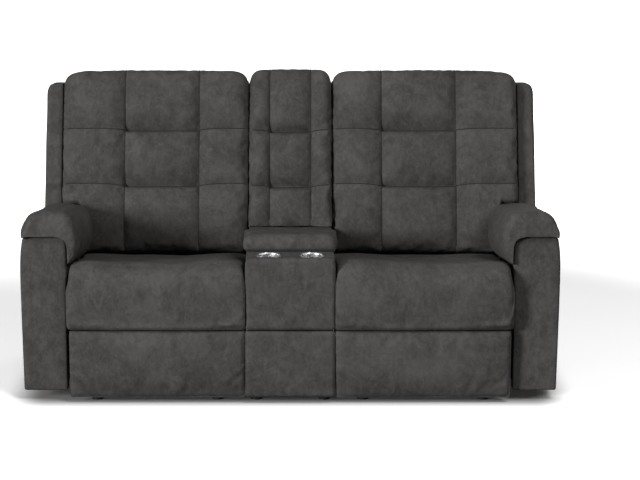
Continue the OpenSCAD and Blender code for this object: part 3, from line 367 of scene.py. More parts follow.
def linear(value):
    return value / 12.92 if value <= 0.04045 else ((value + 0.055) / 1.055) ** 2.4


def colour(red, green, blue):
    """A colour written in 0 to 255 screen values."""
    return tuple(linear(v / 255) for v in (red, green, blue)) + (1.0,)


def grey(level):
    return (level, level, level, 1.0)


def suede(graph, place):
    """Charcoal sueded cover: brushed patches in the nap, short strokes and a fine grain."""
    patches = graph.noise(place, 9.0, 5.0, 0.62, 1.2)
    clouds = graph.noise(place, 2.8, 2.0, 0.5, 0.3)
    strokes = graph.noise(graph.stretch(place, (30.0, 18.0, 16.0)), 1.0, 5.0, 0.66, 2.0)
    marks = graph.noise(place, 46.0, 4.0, 0.62, 1.6)
    grain = graph.noise(place, 900.0, 2.0, 0.6)
    nap = patches * 0.34 + clouds * 0.18 + strokes * 0.28 + marks * 0.20
    light = graph.steps(nap, 0.34, 0.67)
    base = graph.blend(light, tuple(settings().cover_dark) + (1.0,), tuple(settings().cover_light) + (1.0,))
    flecks = graph.steps(marks, 0.60, 0.72)
    base = graph.blend(flecks * 0.20, base, colour(104, 102, 99))
    dots = graph.steps(grain, 0.30, 0.72)
    base = graph.blend(dots * 0.20, base, colour(48, 47, 46))
    fine = graph.bump(grain, 0.18, 0.0006)
    relief = graph.bump(strokes + patches * 0.8, 0.22, 0.0018, fine)
    graph.finish(Base_Color=base, Roughness=0.88 + 0.10 * light, Normal=relief, Specular_IOR_Level=0.12)


def lining(graph, place):
    """Matt black cloth for boxes, and for cords that also stand in for shade: in the seams and in the console's
    corner gaps.
    """
    weave = graph.noise(place, 1400.0, 1.0)
    base = graph.blend(weave, colour(20, 20, 20), colour(38, 38, 38))
    graph.finish(Base_Color=base, Roughness=0.9 + 0.06 * weave, Normal=graph.bump(weave, 0.3, 0.0004))


def board(graph, place):
    """Plywood and sawn boards inside."""
    streaks = graph.noise(graph.stretch(place, (6.0, 90.0, 6.0)), 1.0, 4.0, 0.6, 1.4)
    plies = graph.node("ShaderNodeTexWave", {"wave_type": "BANDS", "bands_direction": "X"}, Vector=place,
                       Scale=180.0, Distortion=1.5, Detail=2.0, out=1)
    base = graph.blend(streaks, colour(176, 140, 98), colour(214, 182, 138))
    base = graph.blend(plies * 0.18, base, colour(140, 104, 68))
    graph.finish(Base_Color=base, Roughness=0.62 + 0.2 * streaks, Normal=graph.bump(streaks, 0.25, 0.0006))


def painted_steel(graph, place):
    """Black painted bars and tubes, a little dusty."""
    peel = graph.noise(place, 420.0, 2.0)
    dust = graph.noise(place, 24.0, 4.0, 0.65, 0.5)
    base = graph.blend(graph.steps(dust, 0.45, 0.75) * 0.5, colour(44, 45, 48), colour(70, 70, 72))
    graph.finish(Base_Color=base, Metallic=0.35, Roughness=0.38 + 0.25 * dust,
                 Normal=graph.bump(peel, 0.12, 0.0004))


def bright_steel(graph, place):
    """Brushed stainless and zinc."""
    lines = graph.noise(graph.stretch(place, (40.0, 40.0, 1800.0)), 1.0, 2.0)
    base = graph.blend(lines, colour(176, 178, 180), colour(222, 223, 224))
    graph.finish(Base_Color=base, Metallic=1.0, Roughness=0.20 + 0.12 * lines,
                 Normal=graph.bump(lines, 0.10, 0.0002))


def moulded_black(graph, place):
    """Textured black plastic."""
    spark = graph.noise(place, 1500.0, 2.0)
    wear = graph.noise(place, 18.0, 3.0)
    base = graph.blend(wear, colour(26, 26, 28), colour(40, 40, 42))
    graph.finish(Base_Color=base, Roughness=0.48 + 0.2 * spark, Normal=graph.bump(spark, 0.25, 0.0004))


MAKERS = {"charcoal_suede": suede, "black_lining": lining, "plywood": board, "painted_steel": painted_steel,
          "brushed_steel": bright_steel, "moulded_black": moulded_black}
MATERIALS = {}


def material(name):
    """A finish, made when it is first asked for."""
    if name not in MATERIALS:
        graph = Graph(bpy.data.materials.new(name))
        MAKERS[name](graph, graph.place())
        MATERIALS[name] = graph.holder
    return MATERIALS[name]


# Settings

class LoveseatSettings(bpy.types.PropertyGroup):
    cover_dark: bpy.props.FloatVectorProperty(
        name="Cover, dark", description="Colour of the suede where its nap lies down", subtype="COLOR",
        size=3, default=colour(57, 55, 54)[:3], min=0.0, max=1.0)
    cover_light: bpy.props.FloatVectorProperty(
        name="Cover, light", description="Colour of the suede where its nap is brushed up", subtype="COLOR",
        size=3, default=colour(87, 85, 83)[:3], min=0.0, max=1.0)
    grid_step: bpy.props.FloatProperty(
        name="Grid step", description="Spacing of the covers' grids", subtype="DISTANCE", unit="LENGTH",
        default=0.011, min=0.006, max=0.03)
    tuck_depth: bpy.props.FloatProperty(
        name="Tuck depth", description="Depth of the sewn tucks in the middle of a back", subtype="DISTANCE",
        unit="LENGTH", default=0.04, min=0.0, max=0.044)
    seam_depth: bpy.props.FloatProperty(
        name="Seam depth", description="Depth of the upright seams", subtype="DISTANCE", unit="LENGTH",
        default=0.0075, min=0.0, max=0.016)


def settings():
    return bpy.context.scene.loveseat


# Backs

BACK_HIGH = 763.0
BACK_THICK = 127.0
ARM_ARC = 252.0
MIDDLE_PUFF, SIDE_PUFF = 15.0, 13.0
SEAM_SHADE_CORD = 2.1


def tuck_profile(offset, depth, reach):
    """Depth of a horizontal tuck: a long curl of the pillow above the seam and a short rise below it."""
    above = np.exp(-np.abs(offset / reach) ** 0.9)
    below = np.exp(-np.abs(offset / (reach * 0.15)) ** 1.3)
    return depth * np.where(offset > 0, above, below)


@dataclass
class BackCushion:
    """One tufted back cushion, in its own x, depth v behind the frame's front and height w.

    corners holds the width and fall of its two top corners, rows the height and sag of its two tucks, and
    step the x from which it ends above the arm."""
    x0: float
    x1: float
    low: float
    seams: tuple
    corners: tuple
    rows: tuple
    seed: int
    swell: float
    curl: float
    foot: float = 26.0
    step: float = None

    def middle(self, x):
        """1 between the two seams and 0 beside them."""
        s0, s1 = self.seams
        return smooth((x - s0) / 14.0 + 0.5) * smooth((s1 - x) / 14.0 + 0.5)

    def crease(self, x, row):
        """Height of a tuck at x."""
        s0, s1 = self.seams
        height, sag = row
        reach = (s1 - s0) * 0.5
        return height - sag * np.exp(-np.abs((x - (s0 + s1) / 2) / (reach * 1.25)) ** 4)

    def relief(self, x, w):
        """How far the face is drawn in at x and height w."""
        s0, s1 = self.seams
        deep, fine = settings().tuck_depth / MM, settings().seam_depth / MM
        middle = self.middle(x)
        # the whole face a little, and its edge at x0 more
        out = 3.0 + 11.0 * clamp((self.x0 + 90.0 - x) / 90.0) ** 2
        # tucks, deep between the seams, and a hollow where they meet a seam
        for row in self.rows:
            offset = w - self.crease(x, row)
            out += mix(tuck_profile(offset, 4.5, 11.0), tuck_profile(offset, deep, 33.0), middle)
            for s in self.seams:
                out += 0.36 * deep * bump((x - s) / 34.0) * bump((offset - 12.0) / 52.0) * (1 - 0.6 * middle)
        # upright seams
        for s in self.seams:
            out += fine * (np.exp(-np.abs((x - s) / 6.0) ** 1.1) + 0.5 * bump((x - s) / 30.0))
        # nine puffed fields
        lines = [self.low + 10.0, self.rows[0][0], self.rows[1][0], BACK_HIGH - 8.0]
        columns = [self.x0, s0, s1, self.x1]
        for r in range(3):
            for c in range(3):
                u = (x - columns[c]) / (columns[c + 1] - columns[c])
                t = (w - lines[r]) / (lines[r + 1] - lines[r])
                inside = (u > 0) & (u < 1) & (t > 0) & (t < 1)
                u, t = clamp(u), clamp(t)
                puffed = (1 - (2 * u - 1) ** 2) ** 0.8 * (1 - (2 * t - 1) ** 2) ** 0.8
                out -= np.where(inside, (MIDDLE_PUFF if c == 1 else SIDE_PUFF) * puffed, 0.0)
        # small creases that fan out from the ends of the tucks
        for i, s in enumerate(self.seams):
            for j, row in enumerate(self.rows):
                dx, dw = (x - s) * (2 * i - 1), w - row[0]
                span = np.hypot(dx, dw)
                fan = np.cos(np.arctan2(dw, dx) * 7.0 + i * 1.3 + j * 2.1)
                out += 3.2 * fan * np.exp(-span / 40.0) * smooth(span / 12.0) * smooth(dx / 10.0)
        return out

    def warp(self, points):
        """From the plain block to the sewn and stuffed cushion."""
        x0, x1, low = self.x0, self.x1, self.low
        plain = points[:, 0]
        points = round_block(points, (x0, -BACK_THICK, low), (x1, -0.5, BACK_HIGH),
                             ((40, 40), (40, 8), (self.foot, 31)))
        x, v, w = points.T.copy()
        # without an arm below it, a cushion keeps its full width at its foot
        if self.step is None:
            x = mix(plain * 1.006, x, smooth((w - low) / 80.0))
        grain = joined(x, w, v)
        relief = self.relief(x, w) + ripple(grain, 95.0, self.seed, 3.0)
        relief = relief + ripple(grain, 38.0, self.seed + 2, 1.1)
        relief += self.curl * smooth((low + 128.0 - w) / 128.0) ** 1.3 + 16.0 * bump((w - BACK_HIGH) / 70.0)
        v = v + smooth((-v - 20.0) / 80.0) * relief * (BACK_THICK - 20.0) / BACK_THICK
        # the sides bulge, and the top corners fall
        tuck = self.rows[1][0] + 60.0
        top = clamp((w - tuck) / (BACK_HIGH - tuck))
        side = smooth(np.abs(2 * (x - x0) / (x1 - x0) - 1) * 3 - 2)
        level = clamp((w - low) / (BACK_HIGH - low))
        plump = self.swell * side * smooth(level * 30.0) * smooth((1.06 - level) * 12.0)
        plump = plump * smooth((BACK_THICK - 10 + v) / 30.0)
        x = x + plump * np.where(x > (x0 + x1) / 2, 1.0 if self.step is None else 0.0, -1.0)
        fall = corner_fall(x, x0, x1, *self.corners)
        half = (x1 - x0) / 2
        w = w - top * (fall + 8.0 * ((x - x0 - half) / half) ** 2 - (5.0 if self.step is None else 1.5))
        # a foot without a step is level, and past a step it is raised to an arc that clears the arm
        if self.step is None:
            w = w + v * math.tan(BACK_TILT) * (1 - smooth((w - low) / 130.0))
        else:
            raised = smooth((x - self.step + 10.0) / 9.0)
            floor = np.sqrt(np.maximum(ARM_ARC ** 2 - v * v, 0)) + 2
            ceiling = self.rows[0][0] - 16.0
            squeezed = ceiling - (ceiling - np.minimum(w, ceiling)) * (ceiling - floor) / (ceiling - low)
            w = np.where(w < ceiling, mix(w, squeezed, raised), w)
        return joined(x, v, w)

    def cover(self):
        """Points and faces of the cover, and 1 at each point that is held."""
        gap = settings().grid_step / MM
        xs = stations(self.x0, self.x1, gap, self.seams, (2.0, 5.0, 10.0, 18.0), SOFT_EDGE)
        ws = stations(self.low, BACK_HIGH, gap, [row[0] for row in self.rows], (2.5, 6.0, 12.0), SOFT_EDGE)
        vs = stations(-BACK_THICK, -0.5, 14.0, ends=SOFT_EDGE)
        points, faces = block_grid(xs, vs, ws)
        for row in self.rows:
            near = smooth(1 - np.abs(points[:, 2] - row[0]) / 70.0)
            points[:, 2] += near * (self.crease(points[:, 0], row) - row[0])
        x, v, w = points.T
        loose = smooth((-v - 70.0) / 30.0)
        for s in self.seams:
            loose *= smooth((np.abs(x - s) - 3.0) / 14.0)
        for row in self.rows:
            loose *= smooth((np.abs(w - self.crease(x, row)) - 4.0) / 14.0)
        return self.warp(points), faces, 1 - loose

    def seam_lines(self):
        """Lines along the upright seams and the tucks, a little in front of the cover."""
        lines = []
        for s in self.seams:
            line = [(s, -BACK_THICK, w) for w in np.arange(self.low + 24.0, BACK_HIGH, 8.0)]
            line += [(s, v, BACK_HIGH) for v in np.arange(-BACK_THICK, -30.0, 8.0)]
            lines.append(self.warp(np.array(line)) + np.array([0, -1.2, 0.4]))
        for row in self.rows:
            xs = np.arange(self.x0 + 9.0, self.x1 - 6.0, 8.0)
            line = joined(xs, np.full_like(xs, -BACK_THICK), self.crease(xs, row))
            lines.append(self.warp(line) + self.middle(xs)[:, None] * (0, -1.5, 0) + np.array([0, -0.7, 1.0]))
        return lines


def cord(lines, radius, sides=6):
    """Closed tubes along lines."""
    points, faces = [], []
    for line in lines:
        line = np.array(line)
        along = np.gradient(line, axis=0)
        along /= np.maximum(np.linalg.norm(along, axis=1, keepdims=True), 1e-9)
        across = np.cross(along, np.array([0.31, 0.87, 0.23]))
        across /= np.linalg.norm(across, axis=1, keepdims=True)
        other = np.cross(along, across)
        start, count = len(points), len(line)
        for i in range(count):
            for j in range(sides):
                angle = 2 * math.pi * j / sides
                points.append(line[i] + radius * (math.cos(angle) * across[i] + math.sin(angle) * other[i]))
        for i in range(count - 1):
            for j in range(sides):
                k = (j + 1) % sides
                a, b = start + i * sides, start + (i + 1) * sides
                faces.append([a + j, a + k, b + k, b + j])
        faces.append([start + j for j in range(sides)][::-1])
        faces.append([start + (count - 1) * sides + j for j in range(sides)])
    return np.array(points), faces


def dress_back(cushion, stem, body):
    """Fits a back cushion's cover, and black cords along its seams and tucks that mark the seams and stand in for
    the shade in them.
    """
    points, faces, held = cushion.cover()
    add_cover(stem, "_back_pillow", lean(points), faces, body, "_back_cushion", held, 5.0)
    # painted shade: the black cords are partly the seams and partly the shade in the seams and tucks
    points, faces = cord(cushion.seam_lines(), SEAM_SHADE_CORD)
    fit(make_mesh(stem + "_back_seams", *on_side(stem, lean(points), faces), "black_lining"), body, [])


def build_backs():
    low, high = node_box("right_back_cushion")
    for side, seed in (("left", 1), ("right", 4)):
        cushion = BackCushion(low[0], high[0], low=63.0, seams=(low[0] + 186.0, high[0] - 235.0),
                              corners=((67.0, 30.0), (105.0, 34.0)), rows=((318.0, 9.0), (529.0, 5.0)),
                              seed=seed, swell=2.4, curl=32.0, step=790.0)
        dress_back(cushion, side, side + "_back")
    half = node_box("console_back_cushion")[1][0]
    foot = (DECK_TOP + 3.0 - PIVOT[2]) / math.cos(BACK_TILT)
    cushion = BackCushion(-half, half, low=foot, seams=(-half * 0.505, half * 0.505),
                          corners=((46.0, 24.0), (46.0, 24.0)), rows=((313.0, 6.0), (524.0, 6.0)),
                          seed=8, swell=2.8, curl=-8.0, foot=10.0)
    dress_back(cushion, "console", "root")


WING_ARC = 251.0
WING_DEEP, WING_TALL = 200.0, 500.0


def build_wings():
    low, high = node_box("right_back_wing")
    x0, x1 = low[0], high[0]
    face, rear = -BACK_THICK + 52.0, 124.0
    xs = stations(x0, x1, 9.0, ends=(2.0, 6.0, 12.0, 20.0))
    vs = stations(0.0, 1.0, 0.05, ends=(0.01, 0.03, 0.06, 0.1))
    ws = stations(0.0, 1.0, 0.022, ends=(0.004, 0.012, 0.025, 0.04))
    flat, faces = block_grid(xs, vs * WING_DEEP, ws * WING_TALL)
    rounded = round_block(flat, (x0, 0, 0), (x1, WING_DEEP, WING_TALL), ((7, 24), (24, 12), (4, 24)))
    x, a, c = rounded[:, 0], rounded[:, 1] / WING_DEEP, rounded[:, 2] / WING_TALL
    top = mix(715.0, 747.0, smooth(a * 1.25)) - 22.0 * arch((x - x1 + 26.0) / 26.0)
    guess = mix(face, rear, a)
    reach = WING_ARC - 15.5 * smooth((x - x0 - 14.0) / 48.0)
    over_arm = (156.0 + guess * math.sin(BACK_TILT)) / math.cos(BACK_TILT)
    foot = np.maximum(np.sqrt(np.maximum(reach ** 2 - guess ** 2, 0)), np.where(guess > -60.0, over_arm, 0))
    w = mix(foot, top, c)
    behind = mix(163.0, 124.0, clamp((w - 308.0) / 455.0)) + np.maximum(0, 308.0 - w) * 0.12
    v = mix(face, behind, a)
    v = v - 5.0 * np.sin(np.pi * c) * smooth(1 - a * 4)
    x = x + ripple(joined(v, w, x), 120.0, 5, 1.6) * (x > (x0 + x1) / 2)
    points = lean(joined(x, v, w))
    for side in ("left", "right"):
        add_cover(side, "_wing_cover", points, faces, side + "_back", "_back_wing")


# Seats and footrests

def path_at(path, t):
    """Points along a polyline of [y, z] at parameters given with it."""
    keys, ys, zs = zip(*path)
    return joined(np.interp(t, keys, ys), np.interp(t, keys, zs))


SEAT_THICK, SEAT_ROLL, SEAT_FALL = 122.0, 95.0, 90.0
SEAT_BASE = SEAT_HIGH[2] - SEAT_THICK


def seat_paths():
    """Outer and inner outlines of a seat cushion over the length of its cover."""
    top, base, lip = SEAT_HIGH[2], SEAT_BASE, SEAT_LOW[2] - 1.5
    crest, rear = FRONT + SEAT_ROLL, SEAT_HIGH[1]
    roll = [np.array([crest - SEAT_ROLL * math.cos(angle), base + 12 + (top - base - 12) * math.sin(angle)])
            for angle in (math.pi / 2 * i / 24 for i in range(1, 25))]
    flat = [np.array([y, top - SEAT_FALL * (y - crest) / (rear - crest)])
            for y in (mix(crest, rear, i / 8) for i in range(1, 9))]
    outer = [(0.0, FRONT + 20.0, lip), (24.0, FRONT + 8.0, lip + 22), (68.0, FRONT + 2.0, lip + 66),
             (134.0, FRONT, base + 12)]
    length, last = 134.0, np.array([FRONT, base + 12])
    for spot in roll + flat:
        length += np.linalg.norm(spot - last)
        outer.append((length, *spot))
        last = spot
    roll_end = outer[-len(flat) - 1][0]
    inner = [(0.0, FRONT + 62.0, lip), (30.0, FRONT + 63.7, lip + 30), (134.0, FRONT + 63.7, base - 10),
             (150.0, FRONT + 64.0, base + 0.5), (roll_end, FRONT + 130.0, base + 0.5),
             (length, rear, base + 0.5)]
    return outer, inner, length


def seat_points(seed):
    """A seat cushion with a rolled front. s runs along its cover, and d from its inside out."""
    x0, x1 = SEAT_LOW[0] - 1.6, SEAT_HIGH[0]
    outer, inner, length = seat_paths()
    gap = settings().grid_step / MM
    ss = stations(0.0, length, gap, (150.0,), (6.0,), SOFT_EDGE)
    xs = stations(x0, x1, gap, ends=EDGE)
    ds = stations(0.0, 100.0, 14.0, ends=(3.0, 8.0, 16.0))
    flat, faces = block_grid(xs, ds, ss)
    points = round_block(flat, (x0, 0, 0), (x1, 100.0, length), ((6, 26), (3, 26), (14, 20)))
    side = np.minimum(points[:, 0] - x0, x1 - points[:, 0])
    x, d, s = points.T.copy()
    a = path_at(outer, s)
    b = path_at(inner, s)
    face = d / 100.0
    spot = b + (a - b) * face[:, None]
    y, z = spot[:, 0], spot[:, 1]
    # the top falls at both sides, steeply beside the arm
    near = clamp((x - x1 + 90.0) / 90.0)
    shoulder = 0.09 * near ** 2 + 0.61 * near ** 15
    inner_edge = 0.17 * arch((x0 + 56.0 - x) / 56.0)
    kept = 1 - np.maximum(shoulder, inner_edge)
    z = np.where(z > SEAT_BASE, SEAT_BASE + (z - SEAT_BASE) * kept, z)
    out = smooth((face - 0.55) / 0.4)
    on_top = smooth((s - 190.0) / 80.0)
    on_front = 1 - smooth((s - 150.0) / 100.0)
    grain = joined(x, y, z)
    wave = ripple(grain, 130.0, seed, 5.0) + ripple(grain, 48.0, seed + 3, 1.6)
    # hollows where a person sits, and a ridge beside the console
    sag = -6.0 * smooth((s - 350.0) / 120.0) * bump((x - mix(x0, x1, 0.48)) / 210.0)
    sag = sag - 9.0 * bump((x - x1 + 235.0) / 150.0) * bump((s - 290.0) / 190.0)
    sag = sag + 3.5 * bump((x - x0 - 75.0) / 60.0)
    z = z + out * on_top * (wave * 0.7 + sag - 3.0)
    y = y + out * on_front * (wave * 0.6 + 5.0 * bump((x - mix(x0, x1, 0.58)) / 60.0)
                              + 10.0 * (2 * (x - x0) / (x1 - x0) - 1) ** 2)
    y = y + out * (9.0 * arch((x - x1 + 34.0) / 34.0) + 6.0 * arch((x0 + 30.0 - x) / 30.0)) * on_front
    # a shallow crease along the roll
    crease = 2.2 * bump((s - 262.0 - 10.0 * np.sin(x / 90.0)) / 9.0) * smooth(side / 90.0)
    z = z - out * crease
    held = 1 - smooth((face - 0.8) / 0.2) * smooth((s - 12.0) / 20.0) * smooth((length - 40.0 - s) / 40.0)
    return joined(x, y, z), faces, held


def build_seats():
    for side, seed in (("left", 11), ("right", 15)):
        points, faces, held = seat_points(seed)
        add_cover(side, "_seat_pillow", points, faces, "root", "_seat_cushion", held, 6.0)


def slab_pad(x0, x1, z0, z1, front, rear, radius, seed, crown, corner=(1, 0), turn=0.0):
    """An upright padded panel with a crowned face towards -Y. corner holds the width and fall of its top
    corners, and turn how far its face goes back at the bottom."""
    gap = settings().grid_step / MM
    depth = rear - front
    xs = stations(x0, x1, gap, ends=EDGE)
    zs = stations(z0, z1, gap, ends=EDGE)
    ys = stations(front, rear, 8.0, ends=(2.0, 5.0, 10.0, 15.0))
    flat, faces = block_grid(xs, ys, zs)
    r = min(radius, depth * 0.94)
    points = round_block(flat, (x0, front, z0), (x1, rear, z1), ((r, r), (r, 2), (r, r)))
    x, y, z = points.T.copy()
    u = clamp((x - x0) / (x1 - x0)) * 2 - 1
    t = clamp((z - z0) / (z1 - z0)) * 2 - 1
    out = smooth((rear - y) / depth * 1.3 - 0.25)
    grain = joined(x, z, y)
    swell = crown * (1 - np.abs(u) ** 2.4) * (1 - t ** 4)
    y = y + out * (crown - swell + ripple(grain, 110.0, seed, 3.2) + ripple(grain, 42.0, seed + 1, 1.0))
    y = y + out * turn * smooth((z0 + 120.0 - z) / 120.0) ** 1.5
    width, fall = corner
    side = np.minimum(x - x0, x1 - x)
    z = z - fall * arch((width - side) / width) * clamp((z - z1 + 70.0) / 70.0)
    return joined(x, y, z), faces


def build_footrests():
    low, high = node_box("right_footrest_pad")
    for side, seed in (("left", 21), ("right", 24)):
        points, faces = slab_pad(low[0] - 1.4, high[0], low[2], high[2] + 1.5, low[1], high[1] - 0.3,
                                 radius=24.0, seed=seed, crown=11.0, turn=9.0)
        held = smooth((points[:, 1] - low[1] - 8.0) / 12.0)
        add_cover(side, "_footrest_cover", points, faces, side + "_footrest", "_footrest_pad",
                  held, 4.0)


# Arms

ARM_RISE, ARM_HIGH, ARM_FALL, ARM_CORNER = 91.0, 594.0, 100.0, 38.0
ARM_LOW_END, ARM_HIGH_END = node_box("right_arm_panel")
ARM_IN, ARM_FRONT = ARM_LOW_END[:2]
ARM_OUT, ARM_REAR = ARM_HIGH_END[:2]
ARM_SLOPE = ARM_FALL / (ARM_REAR - ARM_FRONT)
ARM_DRAWN = ((0, 7.5), (145.0, 5.5), (285.0, 3.4), (375.0, 2.6), (440.0, 2.4), (492.0, 2.6), (542.0, 5.0),
             (594.0, 12.5))
PAD_ARC = 247.5
PAD_COUNT, PAD_LAYERS = 44, 6


def build_arm_panels():
    """Upright covers of the arms. a runs over their width, from the seat's side to the outer face."""
    width = ARM_OUT - ARM_IN
    ends = (2.0, 5.0, 10.0, 17.0)
    xs = stations(0.0, 1.0, 0.07, ends=(0.012, 0.035, 0.07, 0.12))
    ys = stations(ARM_FRONT, ARM_REAR, 14.0, ends=ends)
    zs = stations(ARM_LOW_END[2], ARM_HIGH, 13.0, ends=ends)
    flat, faces = block_grid(xs * width, ys, zs)
    rounded = round_block(flat, (0, ARM_FRONT, ARM_LOW_END[2]), (width, ARM_REAR, ARM_HIGH),
                          ((14, 20), (16, 10), (8, 12)))
    a, y, z = rounded[:, 0] / width, rounded[:, 1], rounded[:, 2]
    drawn = np.interp(z, *zip(*ARM_DRAWN))
    # the outer face is drawn in at its foot and top, and a little more behind the control plate
    plate = smooth((62.0 - np.abs(y + 250.0)) / 12.0) * smooth((30.0 - np.abs(z - 455.0)) / 10.0)
    inner = ARM_IN - (9.5 + 4.5 * smooth((z - 370.0) / 110.0)) * smooth((ARM_FRONT + 120.0 - y) / 90.0)
    x = mix(inner, ARM_OUT - drawn - 1.2 - 2.2 * plate, a)
    # rounded corner at the top of the inner side
    dx, dz = ARM_CORNER - (x - inner), ARM_CORNER - (ARM_HIGH - z)
    span = np.hypot(dx, dz)
    shrink = np.where((dx > 0) & (dz > 0) & (span > ARM_CORNER), ARM_CORNER / np.maximum(span, 1e-6), 1.0)
    x, z = x + dx * (1 - shrink), z - dz * (1 - shrink)
    z = z - clamp((z - 120.0) / (ARM_HIGH - 120.0)) * ARM_SLOPE * (y - ARM_FRONT)
    wave = ripple(joined(y, z, x), 150.0, 31, 1.8)
    face = smooth((ARM_FRONT + 20.0 - y) / 20.0)
    x = x + wave * smooth((a - 0.8) / 0.2) * 0.5
    y = np.maximum(y + wave * face * 0.9 + face * 1.5, ARM_FRONT)
    for side in ("left", "right"):
        add_cover(side, "_arm_cover", joined(x, y, z), faces, "root", "_arm_panel")


def arm_pad_ring(y):
    """Outer and under outlines of an arm pad in [x, z] at a station y."""
    x0, x1 = ARM_IN, ARM_OUT
    base = ARM_HIGH - ARM_SLOPE * (y - ARM_FRONT) + 0.4
    crest = ARM_HIGH + ARM_RISE - ARM_SLOPE * (y - ARM_FRONT)
    # the top keeps below an arc that the reclining back sweeps
    near_back = PIVOT[1] - 60.0
    ahead = max(0.0, near_back - y)
    arc = PIVOT[2] + math.sqrt(PAD_ARC ** 2 - (max(y, near_back) - PIVOT[1]) ** 2)
    arc += 60.0 * smooth(ahead / 44.0)
    arc += 2.0 * max(0.0, ahead - 30.0)
    rise = min(crest, arc) - base
    # the flap on the inner side ends ahead of the back's pivot
    end = PIVOT[1] - 140.0
    hang = smooth((end + 54.0 - y) / 14.0)
    drop = smooth((end + 38.0 - y) / 40.0)
    full = smooth((y - end + 120.0) / 160.0)
    low = 1.0 - 0.04 * smooth((-60.0 - y) / 260.0)
    xi = x0 - 14.0 * smooth((ARM_FRONT + 120.0 - y) / 90.0)
    outer = [
        (x1 - 13.0, -5.0), (x1 - 9.0, 0.0), (x1 - 7.5, 0.15 * rise), (x1 - 9.5, 0.29 * rise),
        (x1 - 16.0, (0.47 + 0.08 * full) * rise), (x1 - 26.0, (0.68 + 0.10 * full) * rise),
        (x1 - 40.0, (0.88 + 0.04 * full) * rise), (x1 - 68.0, 0.98 * rise), (x1 - 104.0, rise),
        (x0 + 20.0, 0.985 * rise),
        (mix(x0 + 8.0, x0 - 14.0, hang), mix(0.84, 0.95 + 0.03 * full, drop) * rise),
        (mix(x0 + 5.0, x0 - 37.0, hang), mix(0.6, 0.80 + 0.13 * full, drop) * rise),
        (mix(x0 + 3.0, x0 - 51.0, hang), mix(0.40, 0.48 + 0.24 * full, drop) * rise)]
    for far, height, depth in ((-56.0, 0.28, -4.0), (-52.0, 0.18, -48.0), (-39.0, 0.10, -82.0),
                               (-26.0, 0.06, -100.0), (-15.0, 0.04, -104.0)):
        outer.append((mix(x0 + 2.0, x0 + far, hang), mix(height * rise, depth * low, drop)))
    under = [(x1 - 13.5, -4.6), (x1 - 30.0, 0.4), (x1 - 60.0, 0.4), (xi + 56.0, 0.4), (xi + 38.0, 0.4)]
    for near, far, depth in ((12.0, 9.5, -10.0), (8.0, -1.6, -32.0), (7.0, -3.4, -64.0), (4.0, -4.0, -98.0)):
        under.append((mix(x0 + near, xi + far, hang), mix(0.4, depth * low, drop)))
    return [(x, base + z) for x, z in outer], [(x, base + z) for x, z in under]


def resample(line, count):
    """Evenly spaced points on a smooth curve through a line's points."""
    line = np.array(line)
    dense = []
    padded = np.vstack([2 * line[0] - line[1], line, 2 * line[-1] - line[-2]])
    for i in range(1, len(padded) - 2):
        p0, p1, p2, p3 = padded[i - 1:i + 3]
        for t in np.linspace(0, 1, 8, endpoint=False):
            dense.append(0.5 * ((2 * p1) + (p2 - p0) * t + (2 * p0 - 5 * p1 + 4 * p2 - p3) * t * t
                                + (3 * p1 - p0 - 3 * p2 + p3) * t ** 3))
    dense = np.array(dense + [line[-1]])
    run = np.concatenate([[0], np.cumsum(np.linalg.norm(np.diff(dense, axis=0), axis=1))])
    spots = np.linspace(0, run[-1], count)
    return joined(np.interp(spots, run, dense[:, 0]), np.interp(spots, run, dense[:, 1]))


def build_arm_pads():
    """Arm pillows. s runs around a ring of the pillow, and d from its underside out."""
    y0, y1 = ARM_FRONT - 16.0, ARM_REAR - 12.0
    radius = 46.0
    ys = stations(y0, y1, 12.0, (PIVOT[1] - 95.0,), (6.0, 14.0), ends=(1.0, 3.0, 7.0, 13.0, 21.0, 32.0))
    outers, unders = [], []
    for y in ys:
        outer, under = (resample(line, PAD_COUNT) for line in arm_pad_ring(y))
        end = max(arch((y0 + radius - y) / radius), 0.75 * arch((y - y1 + radius) / radius))
        outers.append(outer + (under - outer) * 0.62 * end)
        unders.append(under)
    base, faces = block_grid(ys, np.linspace(0, 1, PAD_LAYERS), np.arange(PAD_COUNT, dtype=float))
    faces = [ring[::-1] for ring in faces]
    y, d, s = base.T
    row, place = np.searchsorted(ys, y), s.astype(int)
    outer, under = np.array(outers)[row, place], np.array(unders)[row, place]
    spot = under + (outer - under) * d[:, None]
    shape = joined(spot[:, 0], y, spot[:, 1])
    inside = smooth(np.minimum(y - y0, y1 - y) / 30.0)
    ends = smooth(np.minimum(s, PAD_COUNT - 1 - s) / 5.0)
    held = 1 - smooth(d * 3.0 - 2.0) * ends * smooth((y1 - 60.0 - y) / 60.0)
    for side, seed in (("left", 41), ("right", 44)):
        wave = ripple(shape, 105.0, seed, 4.0) + ripple(shape, 40.0, seed + 1, 1.3)
        points = shape.copy()
        points[:, 2] += smooth(d * 1.6 - 0.6) * inside * ends * (wave - 2.0)
        add_cover(side, "_arm_pillow", points, faces, "root", "_arm_pad", held, 4.0)


# Console

SHADE_CORD_X, SHADE_CORD_RADIUS = 158.0, 4.5
CUP_X, CUP_SIDES = 76.0, 64


